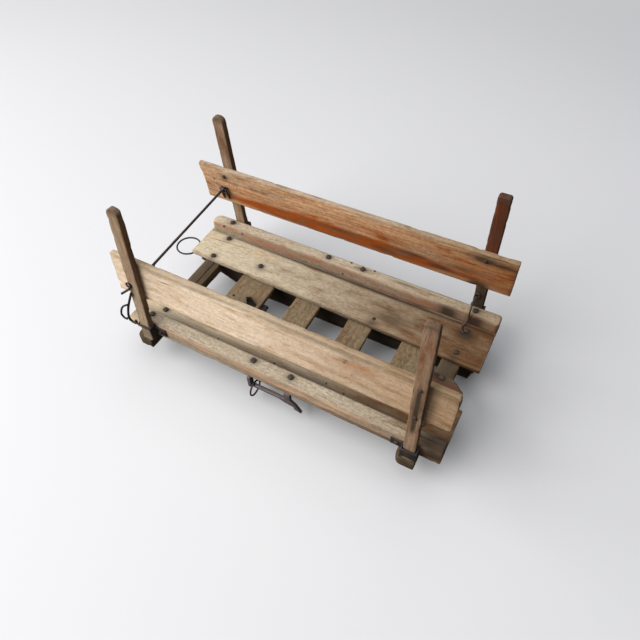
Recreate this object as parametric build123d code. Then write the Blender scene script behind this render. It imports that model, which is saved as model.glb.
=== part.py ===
from build123d import *
import math
import os

os.makedirs("parts", exist_ok=True)

# Wooden sled, in millimetres. The front is towards -X, the far side is +Y and up is +Z.
# Heights count from the floor and places along X from the middle of the deck.
# In the tables, "at" is a share of the bolsters' distance from the middle and "off" is added to it.
# Sizes across are given for the far side, and the near side mirrors them unless it has its own.

# Deck boards
deck_len = 1200
half = deck_len / 2
deck_top = 150
deck_t = 18
deck_low = deck_top - deck_t
far_deck_in_front = 99
far_deck_in_rear = 69
near_deck_in = 96

# Patch board beside the near deck board, over the rear bolster, with its free corner rounded
patch_len = 170
patch_front = half - patch_len
patch_in = 2
patch_joint = 0.5
patch_corner = [
    {"back": 13, "in": 60},
    {"back": 22, "in": 36},
    {"back": 47, "in": 14},
    {"back": 72, "in": 0},
]

# Rails on the outer edges of the deck boards
rail_out = 292
rail_w = 50
rail_h = 46
rail_in = rail_out - rail_w
rail_top = deck_top + rail_h
near_rail_cut = 58
rail_nose_r = 22

# Cross members
slat_t = 20
slat_inset = 24
slats_at = {
    "slat_2": {"front_share": -0.59, "width": 144},
    "slat_3": {"front_share": -0.185, "width": 102},
    "slat_4": {"front_share": 0.182, "width": 94},
    "slat_5": {"front_share": 0.532, "width": 95},
}
bolster_t = 40
bolster_w = 65
bolster_overhang = 36
bolster_reach = rail_out + bolster_overhang
bolster_inset = 100
bolster_x = half - bolster_inset
bolster_end_r = 22
groove_w = 5
groove_off = 5
groove_depth = 5
cut_over = 50

# Broken mortise in the wide slat: shares of the slat's width, and places across
mortise = [
    {"share": 0.52, "y": 2},
    {"share": 0.67, "y": -28},
    {"share": 0.92, "y": -27},
    {"share": 0.91, "y": -7},
    {"share": 0.63, "y": 12},
]

# Runners and their iron shoes
runner_in = 127
runner_t = 42
runner_front_inset = 14
runner_rear_inset = 22
runner_front = -half + runner_front_inset
runner_rear = half - runner_rear_inset
runner_top = deck_low - slat_t
shoe_t = 5
nose_len = 236
nose_rise = 84
nose_shares = [
    {"along": 1.0, "up": 0.0},
    {"along": 0.85, "up": 0.07},
    {"along": 0.66, "up": 0.24},
    {"along": 0.39, "up": 0.54},
    {"along": 0.0, "up": 1.0},
]
heel_step = 6
heel_step_z = 34
heel_rake = 8

# Racks: boards and stakes lean in, about each board's lower inner edge
lean = 5
rack_inset = 29
rack_y = rail_out - rack_inset
rack_rise = 167
rack_z = deck_top + rack_rise
rack_h = 159
rack_t = 20
far_rack_dip = 0.6
near_rack_cut = 30
near_rack_corner_r = 6
lip_h = 32
lip_step = 8

# Stakes on the outer faces of the rack boards, their tops counted up the board from its lower edge
stake_t = 22
stake_gap = 0.1
stake_round_share = 0.42
stakes_at = {
    "far_front": {"at": -1, "off": 10, "lean_along": 14, "width": 44, "top": 366},
    "far_rear": {"at": 1, "off": 6, "lean_along": -5, "width": 40, "top": 384},
    "near_front": {"at": -1, "off": 17, "lean_along": 8, "width": 44, "top": 366},
    "near_rear": {"at": 1, "off": 8, "lean_along": -18, "width": 40, "top": 392},
}

# Irons round the stakes' feet, each a band and one flange on the rail, towards the middle of the sled
# Heights of the band and the flange count from under the deck boards
iron_t = 5
iron_flange = 46
iron_play = 0.9
irons_at = {
    "far_front": {"band_rise": 4, "band_w": 38, "flange_rise": 4, "flange_w": 38},
    "far_rear": {"band_rise": 4, "band_w": 38, "flange_rise": 4, "flange_w": 38},
    "near_front": {"band_rise": 60, "band_w": 9, "flange_rise": 20, "flange_w": 34},
    "near_rear": {"band_rise": 18, "band_w": 38, "flange_rise": 8, "flange_w": 34},
}

# Bolt heads and nuts, seated on the wood
head_side = 21
head_h = 9
head_r_share = 0.19
small_head_side = 15
small_head_h = 6

# Tie rod across the front, between the racks
rod_d = 9
rod_rise = 235
rod_z = deck_top + rod_rise
rod_far_off = -2
rod_near_off = 18
rod_x_far = -bolster_x + rod_far_off
rod_x_near = -bolster_x + rod_near_off
rod_flare = 55
rod_flat_w = 19
rod_flat_t = 6
rod_flat_past = 10
rod_stand = 13
barrel_d = 19
barrel_len = 13
tie_pin_d = 8
pin_play = 0.08
lug_play = 1
leg_d = 7
leg_feet = [{"off": -16, "up": 9}, {"off": 8, "up": 13}]
peg_len = 24
peg_d = 7.5
tie_eye_r = 11
tie_eye_d = 7
tie_shank_d = 8.5
rest_gap = 0.3

# Draw ring in its eye on the front bolster
ring_r = 48
ring_d = 7
ring_ahead = 52
ring_drop = 13
ring_x = -half - ring_ahead
ring_y = 138
ring_z = deck_low - ring_drop
ring_play = 0.5
eye_d = 7
shank_d = 8.5

# Hook bar below the near rail, with its ring
bar_side = 12
bar_inset = 4
bar_drop = 46
bar_y = -(rail_out - bar_inset)
bar_z = deck_low - bar_drop
bar_front = -84
bar_bend = 34
bar_nose = [
    {"past": 24, "down": 14},
    {"past": 58, "down": 20},
    {"past": 61, "down": 32},
    {"past": 87, "down": 41},
    {"past": 77, "down": 25},
    {"past": 67, "down": 9},
    {"past": 49, "down": -6},
]
bar_loop_x = -77
bar_loop_w = 13
bar_loop_t = 3.5
bar_post_x = 70
bar_post_w = 24
side_ring_r = 29
side_ring_d = 6
side_ring_x = -63

# Wire hook from a link on the far rear stake's rack down to the deck bolt
wire_d = 5.5
hook_d = 8
loop_d = 7
link_r = 9
link_off = -1
link_up = -62
hook_path = [
    {"off": -1, "in": 14.6, "rise": 106},
    {"off": -7, "in": 21, "rise": 92},
    {"off": -7, "in": 39, "rise": 75},
    {"off": -5, "in": 54, "rise": 52},
    {"off": -4, "in": 57, "rise": 22},
    {"off": -12, "in": 66, "rise": 5},
    {"off": -11, "in": 89, "rise": 5},
    {"off": -1, "in": 100, "rise": 5},
]

# Loose wires at the near front stake: an eye on its face, a hooked wire, a loop and a stub
near_eye_off = 5
near_eye_up = 67
near_long = [
    {"off": 8, "out": 14.6, "rise": 205},
    {"off": -1, "out": 17, "rise": 185},
    {"off": -15, "out": 19.5, "rise": 155},
    {"off": -41, "out": 22, "rise": 92},
    {"off": -41, "out": 22, "rise": 37},
    {"off": -28, "out": 22, "rise": 36},
    {"off": -21, "out": 22, "rise": 56},
]
near_loop = [
    {"off": -20, "out": 27.9, "rise": 145},
    {"off": -31, "out": 29.5, "rise": 138},
    {"off": -68, "out": 29.5, "rise": 86},
    {"off": -71, "out": 29.5, "rise": 60},
    {"off": -60, "out": 29.5, "rise": 52},
    {"off": -50, "out": 29.5, "rise": 60},
]
near_stub = [
    {"off": 11, "out": 16.8, "rise": 229},
    {"off": -35, "out": 19, "rise": 186},
]

# Places of the bolt heads on the deck boards and the rails, and down from the rack boards' tops
deck_bolts_at = [
    {"at": -1, "off": -3, "y": 221},
    {"at": -1, "off": -3, "y": 112},
    {"at": -0.61, "off": 1, "y": 148},
    {"at": 1, "off": 3, "y": 106},
    {"at": 1, "off": 5, "y": 208},
    {"at": -1, "off": 3, "y": -197},
    {"at": -1, "off": 0, "y": -118},
    {"at": 0.6, "off": 0, "y": -150},
    {"at": 1, "off": 3, "y": -200},
    {"at": 1, "off": -2, "y": -12},
]
rail_bolts_at = [
    {"at": -1, "off": -8, "y": 268},
    {"at": -0.14, "off": 0, "y": 270},
    {"at": 0.15, "off": -2, "y": 271},
    {"at": 1, "off": 8, "y": 268},
    {"at": -1, "off": 7, "y": -260},
    {"at": -0.14, "off": 3, "y": -264},
    {"at": 0.15, "off": 0, "y": -264},
    {"at": 1, "off": 8, "y": -266},
]
rack_bolts_at = [{"at": -1, "off": 8, "down": 36}, {"at": 1, "off": -2, "down": 24}]
stake_bolts_up = (153, 30)


def block(x0, x1, y0, y1, z0, z1):
    """Box between two corners."""
    centre = Pos((x0 + x1) / 2, (y0 + y1) / 2, (z0 + z1) / 2)
    return centre * Box(x1 - x0, y1 - y0, z1 - z0)


def near(shape):
    """The near side's copy of a far-side shape."""
    return mirror(shape, about=Plane.XZ)


def plank(points, z0, z1):
    """Outline seen from above, carried from z0 to z1."""
    face = Plane.XY.offset(z0) * Polygon(*points, align=None)
    return extrude(face, z1 - z0, dir=(0, 0, 1))


def prism(points, y0, y1):
    """Outline seen from the side, carried from y0 to y1."""
    face = Plane.XZ.offset(-y0) * Polygon(*points, align=None)
    return extrude(face, y1 - y0, dir=(0, 1, 0))


def leaned(shape):
    """Rack shape, with X along, Y outward and Z up the board, put in its place."""
    return Pos(0, rack_y, rack_z) * Rot(lean, 0, 0) * shape


def outward(shape):
    """Shape standing on a level surface, turned to stand on an outward face."""
    return Rot(-90, 0, 0) * shape


def inward(shape):
    """Shape standing on a level surface, turned to stand on an inward face."""
    return Rot(90, 0, 0) * shape


def rod(start, end, d):
    """Round bar from one point to another."""
    path = Line(start, end)
    return sweep(Plane(start, z_dir=path % 0) * Circle(d / 2), path=path)


def wire(points, d):
    """Round bar bent smoothly through points."""
    path = Spline(*points)
    return sweep(Plane(path @ 0, z_dir=path % 0) * Circle(d / 2), path=path)


def along(row):
    """Place along the sled of a row of a table."""
    return row["at"] * bolster_x + row["off"]


def seat_head(side=head_side, h=head_h):
    """Square bolt head with softened corners, standing on a level surface at the origin."""
    solid = Box(side, side, h)
    solid = fillet(solid.edges().filter_by(Axis.Z), side * head_r_share)
    return Pos(0, 0, h / 2) * solid


# Runners with rising noses and stepped heels, and the shoes under them
def nose_curve(low):
    """Points of the nose from its start on the flat to its tip."""
    return [(runner_front + nose_len * p["along"], low + nose_rise * p["up"]) for p in nose_shares]


heel_x = runner_rear - heel_step
heel_foot_x = heel_x - heel_rake
runner_outline = nose_curve(shoe_t) + [
    (runner_front, runner_top),
    (runner_rear, runner_top),
    (runner_rear, heel_step_z),
    (heel_x, heel_step_z),
    (heel_foot_x, shoe_t),
]
runner = prism(runner_outline, runner_in, runner_in + runner_t)
shoe_outline = nose_curve(0) + nose_curve(shoe_t)[::-1] + [(heel_foot_x, shoe_t), (heel_foot_x, 0)]
shoe = prism(shoe_outline, runner_in, runner_in + runner_t)


# Cross members
def slat_solid(front, width):
    """Thin slat laid across both runners, under the deck boards."""
    reach = rail_out - slat_inset
    return block(front, front + width, -reach, reach, runner_top, deck_low)


def bolster_solid(x):
    """Bolster across both runners, notched over them, its ends out past the rails."""
    low = deck_low - bolster_t
    bar = block(x - bolster_w / 2, x + bolster_w / 2, -bolster_reach, bolster_reach, low, deck_low)
    bar = fillet(bar.edges().filter_by(Axis.Z).group_by(Axis.X)[0], bolster_end_r)
    notch = block(x - bolster_w, x + bolster_w, runner_in, runner_in + runner_t, low - cut_over, runner_top)
    return bar - notch - near(notch)


slats = {name: slat_solid(half * row["front_share"], row["width"]) for name, row in slats_at.items()}
wide = slats_at["slat_2"]
mortise_outline = [(half * wide["front_share"] + wide["width"] * p["share"], p["y"]) for p in mortise]
slats["slat_2"] = slats["slat_2"] - plank(mortise_outline, runner_top - cut_over, deck_low + cut_over)
groove = block(
    -bolster_x + groove_off, -bolster_x + groove_off + groove_w, -near_deck_in, far_deck_in_front,
    deck_low - groove_depth, deck_low + cut_over,
)
front_bolster = bolster_solid(-bolster_x) - groove
rear_bolster = bolster_solid(bolster_x)

# Deck boards
far_deck_outline = [
    (-half, far_deck_in_front),
    (half, far_deck_in_rear),
    (half, rail_out),
    (-half, rail_out),
]
far_deck = plank(far_deck_outline, deck_low, deck_top)
near_deck = block(-half, half, -rail_out, -near_deck_in, deck_low, deck_top)
patch_low = -near_deck_in + patch_joint
patch_outline = [(patch_front, patch_low), (half - patch_corner[0]["back"], patch_low)]
patch_outline += [(half - p["back"], patch_in - p["in"]) for p in patch_corner]
patch_outline += [(patch_front, patch_in)]
deck_patch = plank(patch_outline, deck_low, deck_top)


# Rails
def rail_solid(front):
    """Far rail with a rounded front end."""
    body = block(front, half, rail_in, rail_out, deck_top, rail_top)
    return fillet(body.edges().filter_by(Axis.Z).group_by(Axis.X)[0], rail_nose_r)


far_rail = rail_solid(-half)
near_rail = near(rail_solid(-half + near_rail_cut))

# Rack boards, the far one with a split lip along its front end and the near one with a worn rear corner
far_board = block(-half, half, 0, rack_t, 0, rack_h)
lip_cut = block(
    -half - cut_over, -half + lip_step, -rack_t, 2 * rack_t, -rack_h, rack_h - lip_h,
)
far_board = leaned(Rot(0, -far_rack_dip, 0) * (far_board - lip_cut))
near_board = block(-half + near_rack_cut, half, 0, rack_t, 0, rack_h)
near_board_corner = near_board.edges().filter_by(Axis.Y).group_by(Axis.Z)[-1].sort_by(Axis.X)[-1]
near_board = near(leaned(fillet(near_board_corner, near_rack_corner_r)))
behind_board = leaned(block(-deck_len, deck_len, 0, 4 * rack_t, -rack_z, 2 * rack_z))


# Stakes
def stake_tilt(row):
    """Angle of a stake along the sled, from its foot to its top."""
    return math.degrees(math.atan2(row["lean_along"], row["top"] + rack_z - deck_low))


def on_stake(row, shape):
    """Shape about a stake's centre line, with Z up the board, put in its place on the far side."""
    low = deck_low - rack_z
    turned = Pos(along(row), 0, low) * Rot(0, stake_tilt(row), 0) * Pos(0, 0, -low) * shape
    return leaned(turned)


def stake_solid(row):
    """Stake against the board's outer face, rounded at the top and cut level on the bolster."""
    side = row["width"] / 2
    inner = rack_t + stake_gap
    body = block(-side, side, inner, inner + stake_t, -rack_z, row["top"])
    body = fillet(body.edges().filter_by(Axis.Y).group_by(Axis.Z)[-1], row["width"] * stake_round_share)
    x = along(row)
    below = block(x - row["width"], x + row["width"], 0, 2 * rack_y, -rack_z, deck_low)
    return on_stake(row, body) - below


stakes = {place: stake_solid(row) for place, row in stakes_at.items()}
swing = math.radians(lean)
stake_out = rack_t + stake_gap + stake_t


def stake_face_y(z):
    """How far out the far stakes' outer faces stand at a height."""
    return rack_y + stake_out / math.cos(swing) + (rack_z - z) * math.tan(swing)


# Irons round the stakes' feet
def iron_middle_x(row, iron):
    """Middle of a stake at the height of its iron's band."""
    return along(row) + math.tan(math.radians(stake_tilt(row))) * (iron["band_rise"] + iron["band_w"] / 2)


def iron_sides(row, iron):
    """Direction of the flange, and the flange's two ends along X."""
    way = -row["at"]
    start = iron_middle_x(row, iron) + way * (row["width"] / 2 + iron_play)
    return way, start, start + way * iron_flange


def stake_iron(row, iron):
    """Flat iron bent round a stake's foot, with one flange on the rail's outer face."""
    x = iron_middle_x(row, iron)
    side = row["width"] / 2 + iron_play
    band_low = deck_low + iron["band_rise"]
    band_high = band_low + iron["band_w"]
    flange_low = deck_low + iron["flange_rise"]
    flange_high = flange_low + iron["flange_w"]
    low, high = min(band_low, flange_low), max(band_high, flange_high)
    out = stake_face_y(band_low) + iron_play
    band = block(x - side - iron_t, x + side + iron_t, rail_out, out + iron_t, band_low, band_high)
    way, start, end = iron_sides(row, iron)
    turn = start + way * iron_t
    riser = block(min(start, turn), max(start, turn), rail_out, out + iron_t, low, high)
    flange = block(min(start, end), max(start, end), rail_out, rail_out + iron_t, flange_low, flange_high)
    space = block(x - side, x + side, 0, out, low - cut_over, high + cut_over)
    return (band + riser + flange) - space


def iron_bolt(row, iron):
    """Bolt head on an iron's flange."""
    way, start, end = iron_sides(row, iron)
    middle = (start + way * iron_t + end) / 2
    place = Pos(middle, rail_out + iron_t, deck_low + iron["flange_rise"] + iron["flange_w"] / 2)
    return place * outward(seat_head(small_head_side, small_head_h))


irons = {place: stake_iron(row, irons_at[place]) for place, row in stakes_at.items()}
bolts_on_irons = {place: iron_bolt(row, irons_at[place]) for place, row in stakes_at.items()}

# Bolt heads down the near rear stake
stake_head = outward(seat_head(small_head_side, small_head_h))
stake_bolts = [
    near(on_stake(stakes_at["near_rear"], Pos(0, stake_out, up) * stake_head)) for up in stake_bolts_up
]

# Tie rod: a barrel on a pin at the far board, and a peg down into an eye at the near board
board_face = rack_y - (rod_z - rack_z) * math.tan(swing)
pivot = Pos(rod_x_far, board_face - rod_stand, rod_z)
peg_y = -(board_face - tie_eye_d / 2 - tie_eye_r)
rod_end = (rod_x_near, peg_y, rod_z)
tie_rod = rod((rod_x_far, board_face - rod_stand, rod_z), rod_end, rod_d)
barrel = pivot * Rot(0, 90, 0) * Cylinder(barrel_d / 2, barrel_len)
bore = pivot * Rot(0, 90, 0) * Cylinder(tie_pin_d / 2 + pin_play, 2 * barrel_len)
peg = rod(rod_end, (rod_x_near, peg_y, rod_z - peg_len), peg_d)
rod_turn = math.degrees(math.atan2(rod_x_far - rod_x_near, board_face - rod_stand - peg_y))
flat_outline = [
    (-rod_d / 2, rod_flare), (-rod_flat_w / 2, 0), (-rod_d / 2, -rod_flat_past),
    (rod_d / 2, -rod_flat_past), (rod_flat_w / 2, 0), (rod_d / 2, rod_flare),
]
flat = Pos(*rod_end) * Rot(0, 0, -rod_turn) * plank(flat_outline, -rod_d / 2, rod_flat_t - rod_d / 2)
tie_rod = tie_rod + barrel + flat + Pos(*rod_end) * Sphere(rod_d / 2) + peg - bore

# Staple of the tie rod: the pin, two stubs into the board and two legs down its face
leg_off = barrel_len / 2 + lug_play + leg_d / 2
tie_staple = pivot * Rot(0, 90, 0) * Cylinder(tie_pin_d / 2, 2 * leg_off + leg_d)
leg_tops = [(rod_x_far + way * leg_off, board_face - rod_stand, rod_z) for way in (-1, 1)]
for top, foot in zip(leg_tops, leg_feet):
    x, y, z = top
    face_y = rack_y - foot["up"] * math.sin(swing)
    tie_staple = tie_staple + rod(top, (x, board_face + rack_t, z), leg_d)
    foot_place = (rod_x_far + foot["off"], face_y + leg_d / 4, rack_z + foot["up"])
    tie_staple = tie_staple + rod(top, foot_place, leg_d)
tie_staple = tie_staple - behind_board

tie_eye_z = rod_z - rod_d / 2 - tie_eye_d / 2 - rest_gap
tie_eye = Pos(rod_x_near, peg_y, tie_eye_z) * Torus(tie_eye_r, tie_eye_d / 2)
shank_start = (rod_x_near, peg_y - tie_eye_r, tie_eye_z)
tie_eye = tie_eye + rod(shank_start, (rod_x_near, -board_face - rack_t, tie_eye_z), tie_shank_d)
tie_eye = tie_eye - near(behind_board)

# Draw ring lying level in its eye
draw_ring = Pos(ring_x, ring_y, ring_z) * Torus(ring_r, ring_d / 2)
eye_x = ring_x + ring_r
eye_r = ring_d / 2 + ring_play + eye_d / 2
draw_eye = Pos(eye_x, ring_y, ring_z) * Rot(90, 0, 0) * Torus(eye_r, eye_d / 2)
shank_end = (-bolster_x - bolster_w / 2, ring_y, ring_z)
draw_eye = draw_eye + rod((eye_x + eye_r, ring_y, ring_z), shank_end, shank_d)

# Hook bar under a post and through a loop, its nose bent down to a barbed point
side = bar_side / 2
bar_outline = [(bar_front, bar_z - side), (bar_bend, bar_z - side)]
bar_outline += [(bar_bend + p["past"], bar_z - p["down"]) for p in bar_nose]
bar_outline += [(bar_bend, bar_z + side), (bar_front, bar_z + side)]
hook_bar = prism(bar_outline, bar_y - side, bar_y + side)
bar_loop = block(
    bar_loop_x - bar_loop_w / 2, bar_loop_x + bar_loop_w / 2, bar_y - side - bar_loop_t, bar_y + side + bar_loop_t,
    bar_z - side - bar_loop_t, deck_low,
)
bar_loop = bar_loop - block(
    bar_loop_x - bar_loop_w, bar_loop_x + bar_loop_w, bar_y - side, bar_y + side, bar_z - side, bar_z + side
)
bar_post = block(
    bar_post_x - bar_post_w / 2, bar_post_x + bar_post_w / 2, bar_y - side, bar_y + side, bar_z + side, deck_low
)

# Ring hung round the bar, its inner circle resting on the bar's two top edges
ring_inner_r = side_ring_r - side_ring_d / 2
ring_seat = math.sqrt(ring_inner_r**2 - side**2)
side_ring_z = bar_z + side + rest_gap - ring_seat
side_ring = Pos(side_ring_x, bar_y, side_ring_z) * Rot(0, 90, 0) * Torus(side_ring_r, side_ring_d / 2)

# Link and wire hook at the far rear stake
link_in = rack_t + stake_gap - wire_d / 2
link = leaned(Pos(bolster_x + link_off, link_in, link_up) * Rot(90, 0, 0) * Torus(link_r, wire_d / 2))
hook_points = [(bolster_x + p["off"], rail_out - p["in"], deck_top + p["rise"]) for p in hook_path]
far_hook = wire(hook_points, wire_d)

# Eye and loose wires at the near front stake
near_eye_place = Pos(-bolster_x + near_eye_off, stake_out + wire_d / 2, near_eye_up)
near_eye = near(leaned(near_eye_place * Rot(90, 0, 0) * Torus(link_r, wire_d / 2)))
near_wires = [near_eye]
for path, d in ((near_long, hook_d), (near_loop, loop_d), (near_stub, hook_d)):
    points = [(-bolster_x + p["off"], -rail_out - p["out"], deck_top + p["rise"]) for p in path]
    near_wires.append(wire(points, d))

# Bolt heads
deck_bolts = [Pos(along(row), row["y"], deck_top) * seat_head() for row in deck_bolts_at]
rail_bolts = [Pos(along(row), row["y"], rail_top) * seat_head() for row in rail_bolts_at]
rack_head = inward(seat_head(small_head_side, small_head_h))
rack_bolts = [leaned(Pos(along(row), 0, rack_h - row["down"]) * rack_head) for row in rack_bolts_at]

pieces = {
    "far_runner": [runner],
    "near_runner": [near(runner)],
    "far_shoe": [shoe],
    "near_shoe": [near(shoe)],
    "front_bolster": [front_bolster],
    "rear_bolster": [rear_bolster],
    **{name: [slat] for name, slat in slats.items()},
    "far_deck": [far_deck],
    "near_deck": [near_deck],
    "deck_patch": [deck_patch],
    "far_rail": [far_rail],
    "near_rail": [near_rail],
    "far_rack_board": [far_board],
    "near_rack_board": [near_board],
    "far_front_stake": [stakes["far_front"]],
    "far_rear_stake": [stakes["far_rear"]],
    "near_front_stake": [near(stakes["near_front"])],
    "near_rear_stake": [near(stakes["near_rear"])],
    "far_irons": [irons["far_front"], irons["far_rear"]],
    "near_irons": [near(irons["near_front"]), near(irons["near_rear"])],
    "far_iron_bolts": [bolts_on_irons["far_front"], bolts_on_irons["far_rear"]],
    "near_iron_bolts": [near(bolts_on_irons["near_front"]), near(bolts_on_irons["near_rear"])],
    "stake_bolts": stake_bolts,
    "tie_rod": [tie_rod],
    "tie_staple": [tie_staple],
    "tie_eye": [tie_eye],
    "draw_eye": [draw_eye],
    "draw_ring": [draw_ring],
    "hook_bar": [hook_bar],
    "bar_lugs": [bar_loop, bar_post],
    "side_ring": [side_ring],
    "far_hook": [link, far_hook],
    "near_wires": near_wires,
    "deck_bolts": deck_bolts,
    "rail_bolts": rail_bolts,
    "rack_bolts": rack_bolts,
}

# Origin under the middle of the whole sled, on the floor
solids = {node: [s for shape in held for s in shape.solids()] for node, held in pieces.items()}
whole = Compound([s for held in solids.values() for s in held]).bounding_box()
to_origin = Pos(-(whole.min.X + whole.max.X) / 2, -(whole.min.Y + whole.max.Y) / 2, -whole.min.Z)
for node, held in solids.items():
    placed = [to_origin * s for s in held]
    export_step(placed[0] if len(placed) == 1 else Compound(placed), f"parts/{node}.step")
print("shift", to_origin.position, "size", whole.size)
print("pivots", pivot.position, (eye_x, ring_y, ring_z), (side_ring_x, bar_y, side_ring_z + side_ring_r))
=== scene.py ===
"""Looks of an old wooden sled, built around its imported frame.

Lengths are in metres. Places along the sled count from the middle of the deck, and are moved to the
frame's own origin when a piece is put in its place.
"""

import logging
import math
from dataclasses import dataclass, field
from enum import Enum

import bmesh
import bpy
from mathutils import Matrix, Vector, noise


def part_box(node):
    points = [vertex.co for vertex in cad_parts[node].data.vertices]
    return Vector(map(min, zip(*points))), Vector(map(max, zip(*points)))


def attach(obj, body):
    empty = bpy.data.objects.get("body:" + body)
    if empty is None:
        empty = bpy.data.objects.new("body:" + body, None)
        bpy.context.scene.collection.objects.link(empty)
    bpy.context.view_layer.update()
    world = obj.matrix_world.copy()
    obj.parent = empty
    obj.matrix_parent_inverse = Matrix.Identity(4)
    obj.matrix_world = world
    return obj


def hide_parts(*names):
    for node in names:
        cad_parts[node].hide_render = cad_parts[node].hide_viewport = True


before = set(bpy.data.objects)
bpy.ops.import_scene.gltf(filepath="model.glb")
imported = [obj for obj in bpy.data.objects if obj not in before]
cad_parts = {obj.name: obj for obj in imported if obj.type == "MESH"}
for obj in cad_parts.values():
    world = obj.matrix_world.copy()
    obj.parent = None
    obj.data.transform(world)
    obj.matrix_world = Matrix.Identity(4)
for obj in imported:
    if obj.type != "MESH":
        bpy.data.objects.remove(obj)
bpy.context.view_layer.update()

log = logging.getLogger("sled")

Mesh = bmesh.types.BMesh
Socket = bpy.types.NodeSocket
Material = bpy.types.Material

# Places and sizes that several pieces share.
DECK_LOW, DECK_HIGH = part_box("near_deck")
MID_X = (DECK_LOW.x + DECK_HIGH.x) / 2
FRONT_X = -0.6
REAR_X = 0.6
DECK_TOP = DECK_HIGH.z
DECK_UNDER = DECK_LOW.z
DECK_SIDE = -DECK_LOW.y
RAIL_IN = 0.242
RAIL_OUT = 0.292
RAIL_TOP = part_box("near_rail")[1].z
RACK_LEAN = math.radians(5)
RACK_Y = 0.263
RACK_Z = 0.317
RACK_HIGH = 0.159
RACK_THICK = 0.020
FAR_RACK_DIP = math.radians(0.6)
STAKE_IN = 0.0201
STAKE_OUT = 0.0421
RUNNER_IN = 0.127
RUNNER_OUT = 0.169
RUNNER_TOP = 0.112

# Distances that count as nothing in a test and in a merge, and how the wear of boards varies.
CLOSE = 1e-5
TINY = 1e-6
CHIP_SCALE = (22, 34, 34)
FINE_CHIP_SCALE = (70, 90, 90)
RIPPLE_SCALE = (11, 75, 75)
WARP_SCALES = ((1, 2.42), (2, 3.52))
CHIP_START = 0.12
CHIP_GAIN = 2.2


class Side(Enum):
    """Side of the sled that a piece is on, as the sign of Y."""

    FAR = 1
    NEAR = -1


class Slot(Enum):
    """Name of a material slot."""

    WEATHERED = "weathered_wood"
    PALE = "pale_wood"
    STAINED = "stained_wood"
    IRON = "old_iron"


class Patina(Enum):
    """What a patch does to the wood, as the name of the attribute that it fills."""

    RUST = "rust"
    # Stains, and the painted shadows that share their mask.
    STAIN = "stain"
    PALE = "pale"


@dataclass(frozen=True)
class Mark:
    """Soft-edged patch on a board, in the board's own axes.

    Args:
        kind: What it does to the wood.
        x: Place along the grain.
        y: Place across the grain.
        long: Half length along the grain.
        wide: Half width across the grain.
        amount: Strength at the middle, where more than 1 makes a wider full patch.
        flat: How flat the middle is: 1 is a soft spot, and more has a firmer edge.
    """

    kind: Patina
    x: float
    y: float
    long: float
    wide: float
    amount: float = 1.0
    flat: float = 1.0

    def strength(self, x: float, y: float) -> float:
        """Strength of the patch at a point of the board."""
        reach = ((x - self.x) / self.long) ** 2 + ((y - self.y) / self.wide) ** 2
        return self.amount * math.exp(-(reach**self.flat))


@dataclass(frozen=True)
class Crack:
    """Split in a board's upper face that roughly follows the grain.

    Args:
        start: First place along the grain.
        y: Place across the grain there.
        end: Last place along the grain.
        end_y: Place across the grain there.
        wide: Half width at its widest.
        deep: Depth at its deepest.
        wander: How far it strays across the grain.
        opening: How soon it is fully open, counted from its ends.
    """

    start: float
    y: float
    end: float
    end_y: float
    wide: float = 0.0012
    deep: float = 0.006
    wander: float = 0.0012
    opening: float = 3.2

    def slope(self) -> float:
        """How far the split moves across the grain for each length along it."""
        return (self.end_y - self.y) / (self.end - self.start)

    def off(self, x: float, y: float) -> float:
        """Distance across the grain from the split's straight line."""
        return y - self.y - self.slope() * (x - self.start)

    def share(self, x: float) -> float:
        """How open the split is at a place along the grain, from 0 to 1."""
        room = max(0.0, (x - self.start) * (self.end - x)) / (self.end - self.start) ** 2
        return min(1.0, self.opening * math.sqrt(room))

    def stray(self, x: float) -> float:
        """Distance that the split strays from its straight line."""
        return self.wander * noise.noise(Vector((x * 14, self.y * 50, 4.1)))


def patches(kind: Patina, *rows: tuple) -> list[Mark]:
    """Marks of one kind, each row being a mark's other values."""
    return [Mark(kind, *row) for row in rows]


def splits(*rows: tuple) -> list[Crack]:
    """Cracks, each row being a crack's values."""
    return [Crack(*row) for row in rows]


def uneven(co: Vector, scale: tuple, seed: Vector) -> float:
    """Smooth noise at a point, with its own scale on each axis."""
    return noise.noise(Vector([c * s for c, s in zip(co, scale)]) + seed)


def bent_line(points: tuple, place: float) -> float:
    """Reads a line of straight stretches.

    Args:
        points: The line's corners, with the first coordinate rising.
        place: First coordinate to read it at.

    Returns:
        The second coordinate there, which stays level beyond the line's ends.
    """
    for (x0, y0), (x1, y1) in zip(points, points[1:]):
        if x0 <= place <= x1:
            return y0 + (y1 - y0) * (place - x0) / (x1 - x0)
    return points[0][1] if place < points[0][0] else points[-1][1]


def tint(red: int, green: int, blue: int) -> tuple[float, float, float, float]:
    """Colour for a shader from its usual 0 to 255 values.

    Args:
        red: Its red part.
        green: Its green part.
        blue: Its blue part.

    Returns:
        The linear colour, with full alpha.
    """
    parts = [c / 255 for c in (red, green, blue)]
    linear = [c / 12.92 if c <= 0.04045 else ((c + 0.055) / 1.055) ** 2.4 for c in parts]
    return (*linear, 1.0)


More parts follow.
